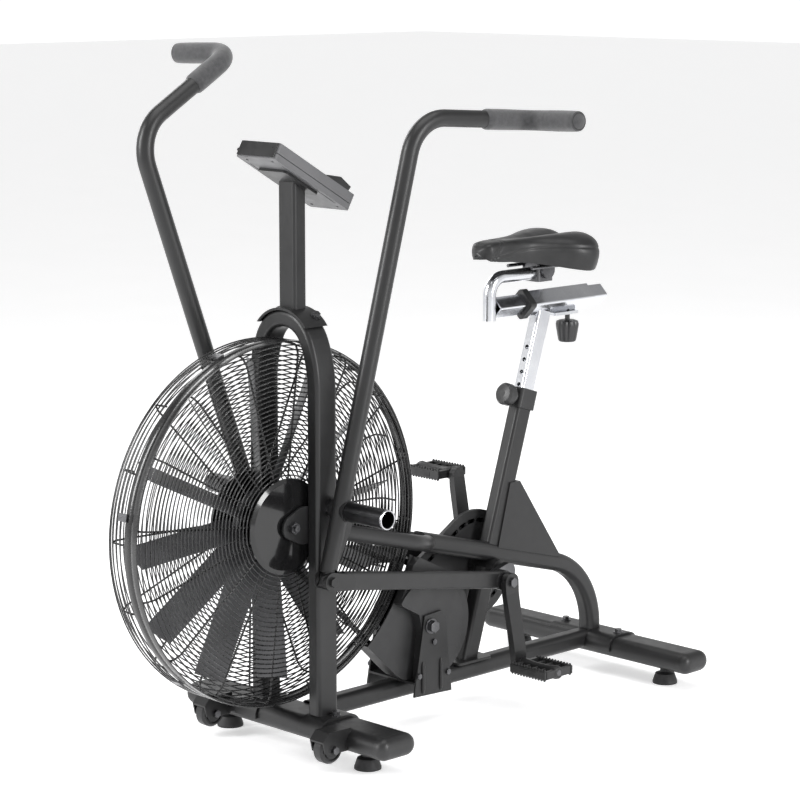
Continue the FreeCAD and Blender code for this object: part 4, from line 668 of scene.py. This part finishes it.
def make_trim():
    """Small rigid pieces that finish the parts: pins, nuts, ribs and end rings."""
    for side, sign in SIDES:
        drop = math.radians(10.5)
        pin = (CRANK[0] - sign * 38 * math.cos(drop), CRANK[1] - sign * 38 * math.sin(drop))
        collar = Shape().lathe([(sign * x, r) for x, r in (
            (82.5, 12), (84.5, 13), (88, 13), (89.6, 11.5), (89.6, 1), (82.5, 1))], pin, 40)
        collar.make(f"rod_{side}_pin", [paint("zinc")], f"rod_{side}", "zinc", smooth=30)

        ring = Shape().lathe([(sign * x, r) for x, r in (
            (236.5, 15.4), (240.2, 15.4), (240.8, 16.2), (240.2, 17.7), (238.5, 18.25), (236.5, 18.1))], PIVOT, 56)
        ring.make(f"peg_{side}_end", [ENDS.material], "frame", "peg_steel", smooth=30)

        ribs = Shape()
        for back in (333.0, 381.0):
            path = [at(sign * x, back, z) for x, z in ((65.6, 60), (66.3, 63), (66.5, 70), (66.5, 112),
                                                       (66.3, 119), (65.6, 123))]
            ribs.tube(path, [2.0 * MM, 3.4 * MM, 4.2 * MM, 4.2 * MM, 3.4 * MM, 2.0 * MM], 16)
        ribs.make(f"drive_ribs_{side}", [paint("frame_black")], "frame", "frame_black", smooth=60)

        end = Shape()
        end.lathe([(sign * x, r) for x, r in ((66.6, 7.6), (66.6, 15), (68.4, 15), (68.4, 7.6))], SHAFT, 40)
        rows = []
        for x in (68.5, 78.0):
            rows.append([at(sign * x, SHAFT[0] + 12 * math.sin(math.pi * k / 3), SHAFT[1] + 12 * math.cos(math.pi * k / 3))
                         for k in range(6)])
        end.grid(rows, ends=True)
        end.make(f"jack_nut_{side}", [paint("zinc")], "jack_shaft", "zinc", smooth=30, bevel=0.6)


make_trim()


# ---- Floor, camera and lights -----------------------------------------------------------

CAMERA_SPOT = (3.537, -3.4259, 1.465)
AIM_AZIMUTH, AIM_ELEVATION = 45.61, 9.68
LENS = 119.5


def make_floor():
    """A wide, flat, pale floor."""
    mesh = bpy.data.meshes.new("floor")
    half = 30.0
    mesh.from_pydata([(-half, -half, 0), (half, -half, 0), (half, half, 0), (-half, half, 0)], [], [(0, 1, 2, 3)])
    floor = bpy.data.objects.new("floor", mesh)
    bpy.context.scene.collection.objects.link(floor)
    pale = Finish("floor_pale", Specular_IOR_Level=0.2, Emission_Color=(1.0, 1.0, 1.0, 1.0), Emission_Strength=0.45)
    pale.colour(pale.noise(3, 3), (0.90, 0.90, 0.905), (0.93, 0.93, 0.935))
    pale.rough(pale.noise(8, 3), 0.72, 0.8)
    mesh.materials.append(pale.material)


def make_camera():
    camera = bpy.data.objects.new("camera", bpy.data.cameras.new("camera"))
    bpy.context.scene.collection.objects.link(camera)
    azimuth, elevation = math.radians(AIM_AZIMUTH), math.radians(AIM_ELEVATION)
    back = Vector((math.sin(azimuth) * math.cos(elevation), -math.cos(azimuth) * math.cos(elevation),
                   math.sin(elevation)))
    camera.location = CAMERA_SPOT
    camera.rotation_mode = "QUATERNION"
    camera.rotation_quaternion = (-back).to_track_quat("-Z", "Y")
    camera.data.lens = LENS
    camera.data.sensor_width = 36.0
    camera.data.clip_end = 200.0
    bpy.context.scene.camera = camera


def make_light(name, spot, size, power, aim=(0.0, 0.0, 0.6)):
    data = bpy.data.lights.new(name, "AREA")
    data.shape, data.size, data.size_y, data.energy = "RECTANGLE", size[0], size[1], power
    light = bpy.data.objects.new(name, data)
    bpy.context.scene.collection.objects.link(light)
    light.location = spot
    light.rotation_mode = "QUATERNION"
    light.rotation_quaternion = (Vector(aim) - Vector(spot)).to_track_quat("-Z", "Y")


make_floor()
make_camera()
make_light("softbox_left", (-1.6, -3.4, 2.3), (0.8, 2.6), 130)
make_light("softbox_right", (4.2, 0.6, 2.0), (0.8, 2.6), 110)
make_light("softbox_top", (0.4, -0.2, 4.2), (3.0, 3.0), 70)
make_light("softbox_rear", (-3.6, 0.9, 2.4), (1.4, 2.2), 35)
world = bpy.data.worlds.new("studio")
bpy.context.scene.world = world
world.use_nodes = True
world.node_tree.nodes["Background"].inputs["Color"].default_value = (1.0, 1.0, 1.0, 1.0)
sky = world.node_tree.nodes.new("ShaderNodeTexCoord").outputs["Generated"]
height = world.node_tree.nodes.new("ShaderNodeSeparateXYZ")
fade = world.node_tree.nodes.new("ShaderNodeMapRange")
for socket, amount in (("From Min", 0.2), ("From Max", 0.7), ("To Min", 1.05), ("To Max", 0.3)):
    fade.inputs[socket].default_value = amount
world.node_tree.links.new(sky, height.inputs["Vector"])
world.node_tree.links.new(height.outputs["Z"], fade.inputs["Value"])
world.node_tree.links.new(fade.outputs["Result"], world.node_tree.nodes["Background"].inputs["Strength"])
bpy.context.scene.view_settings.view_transform = "Standard"
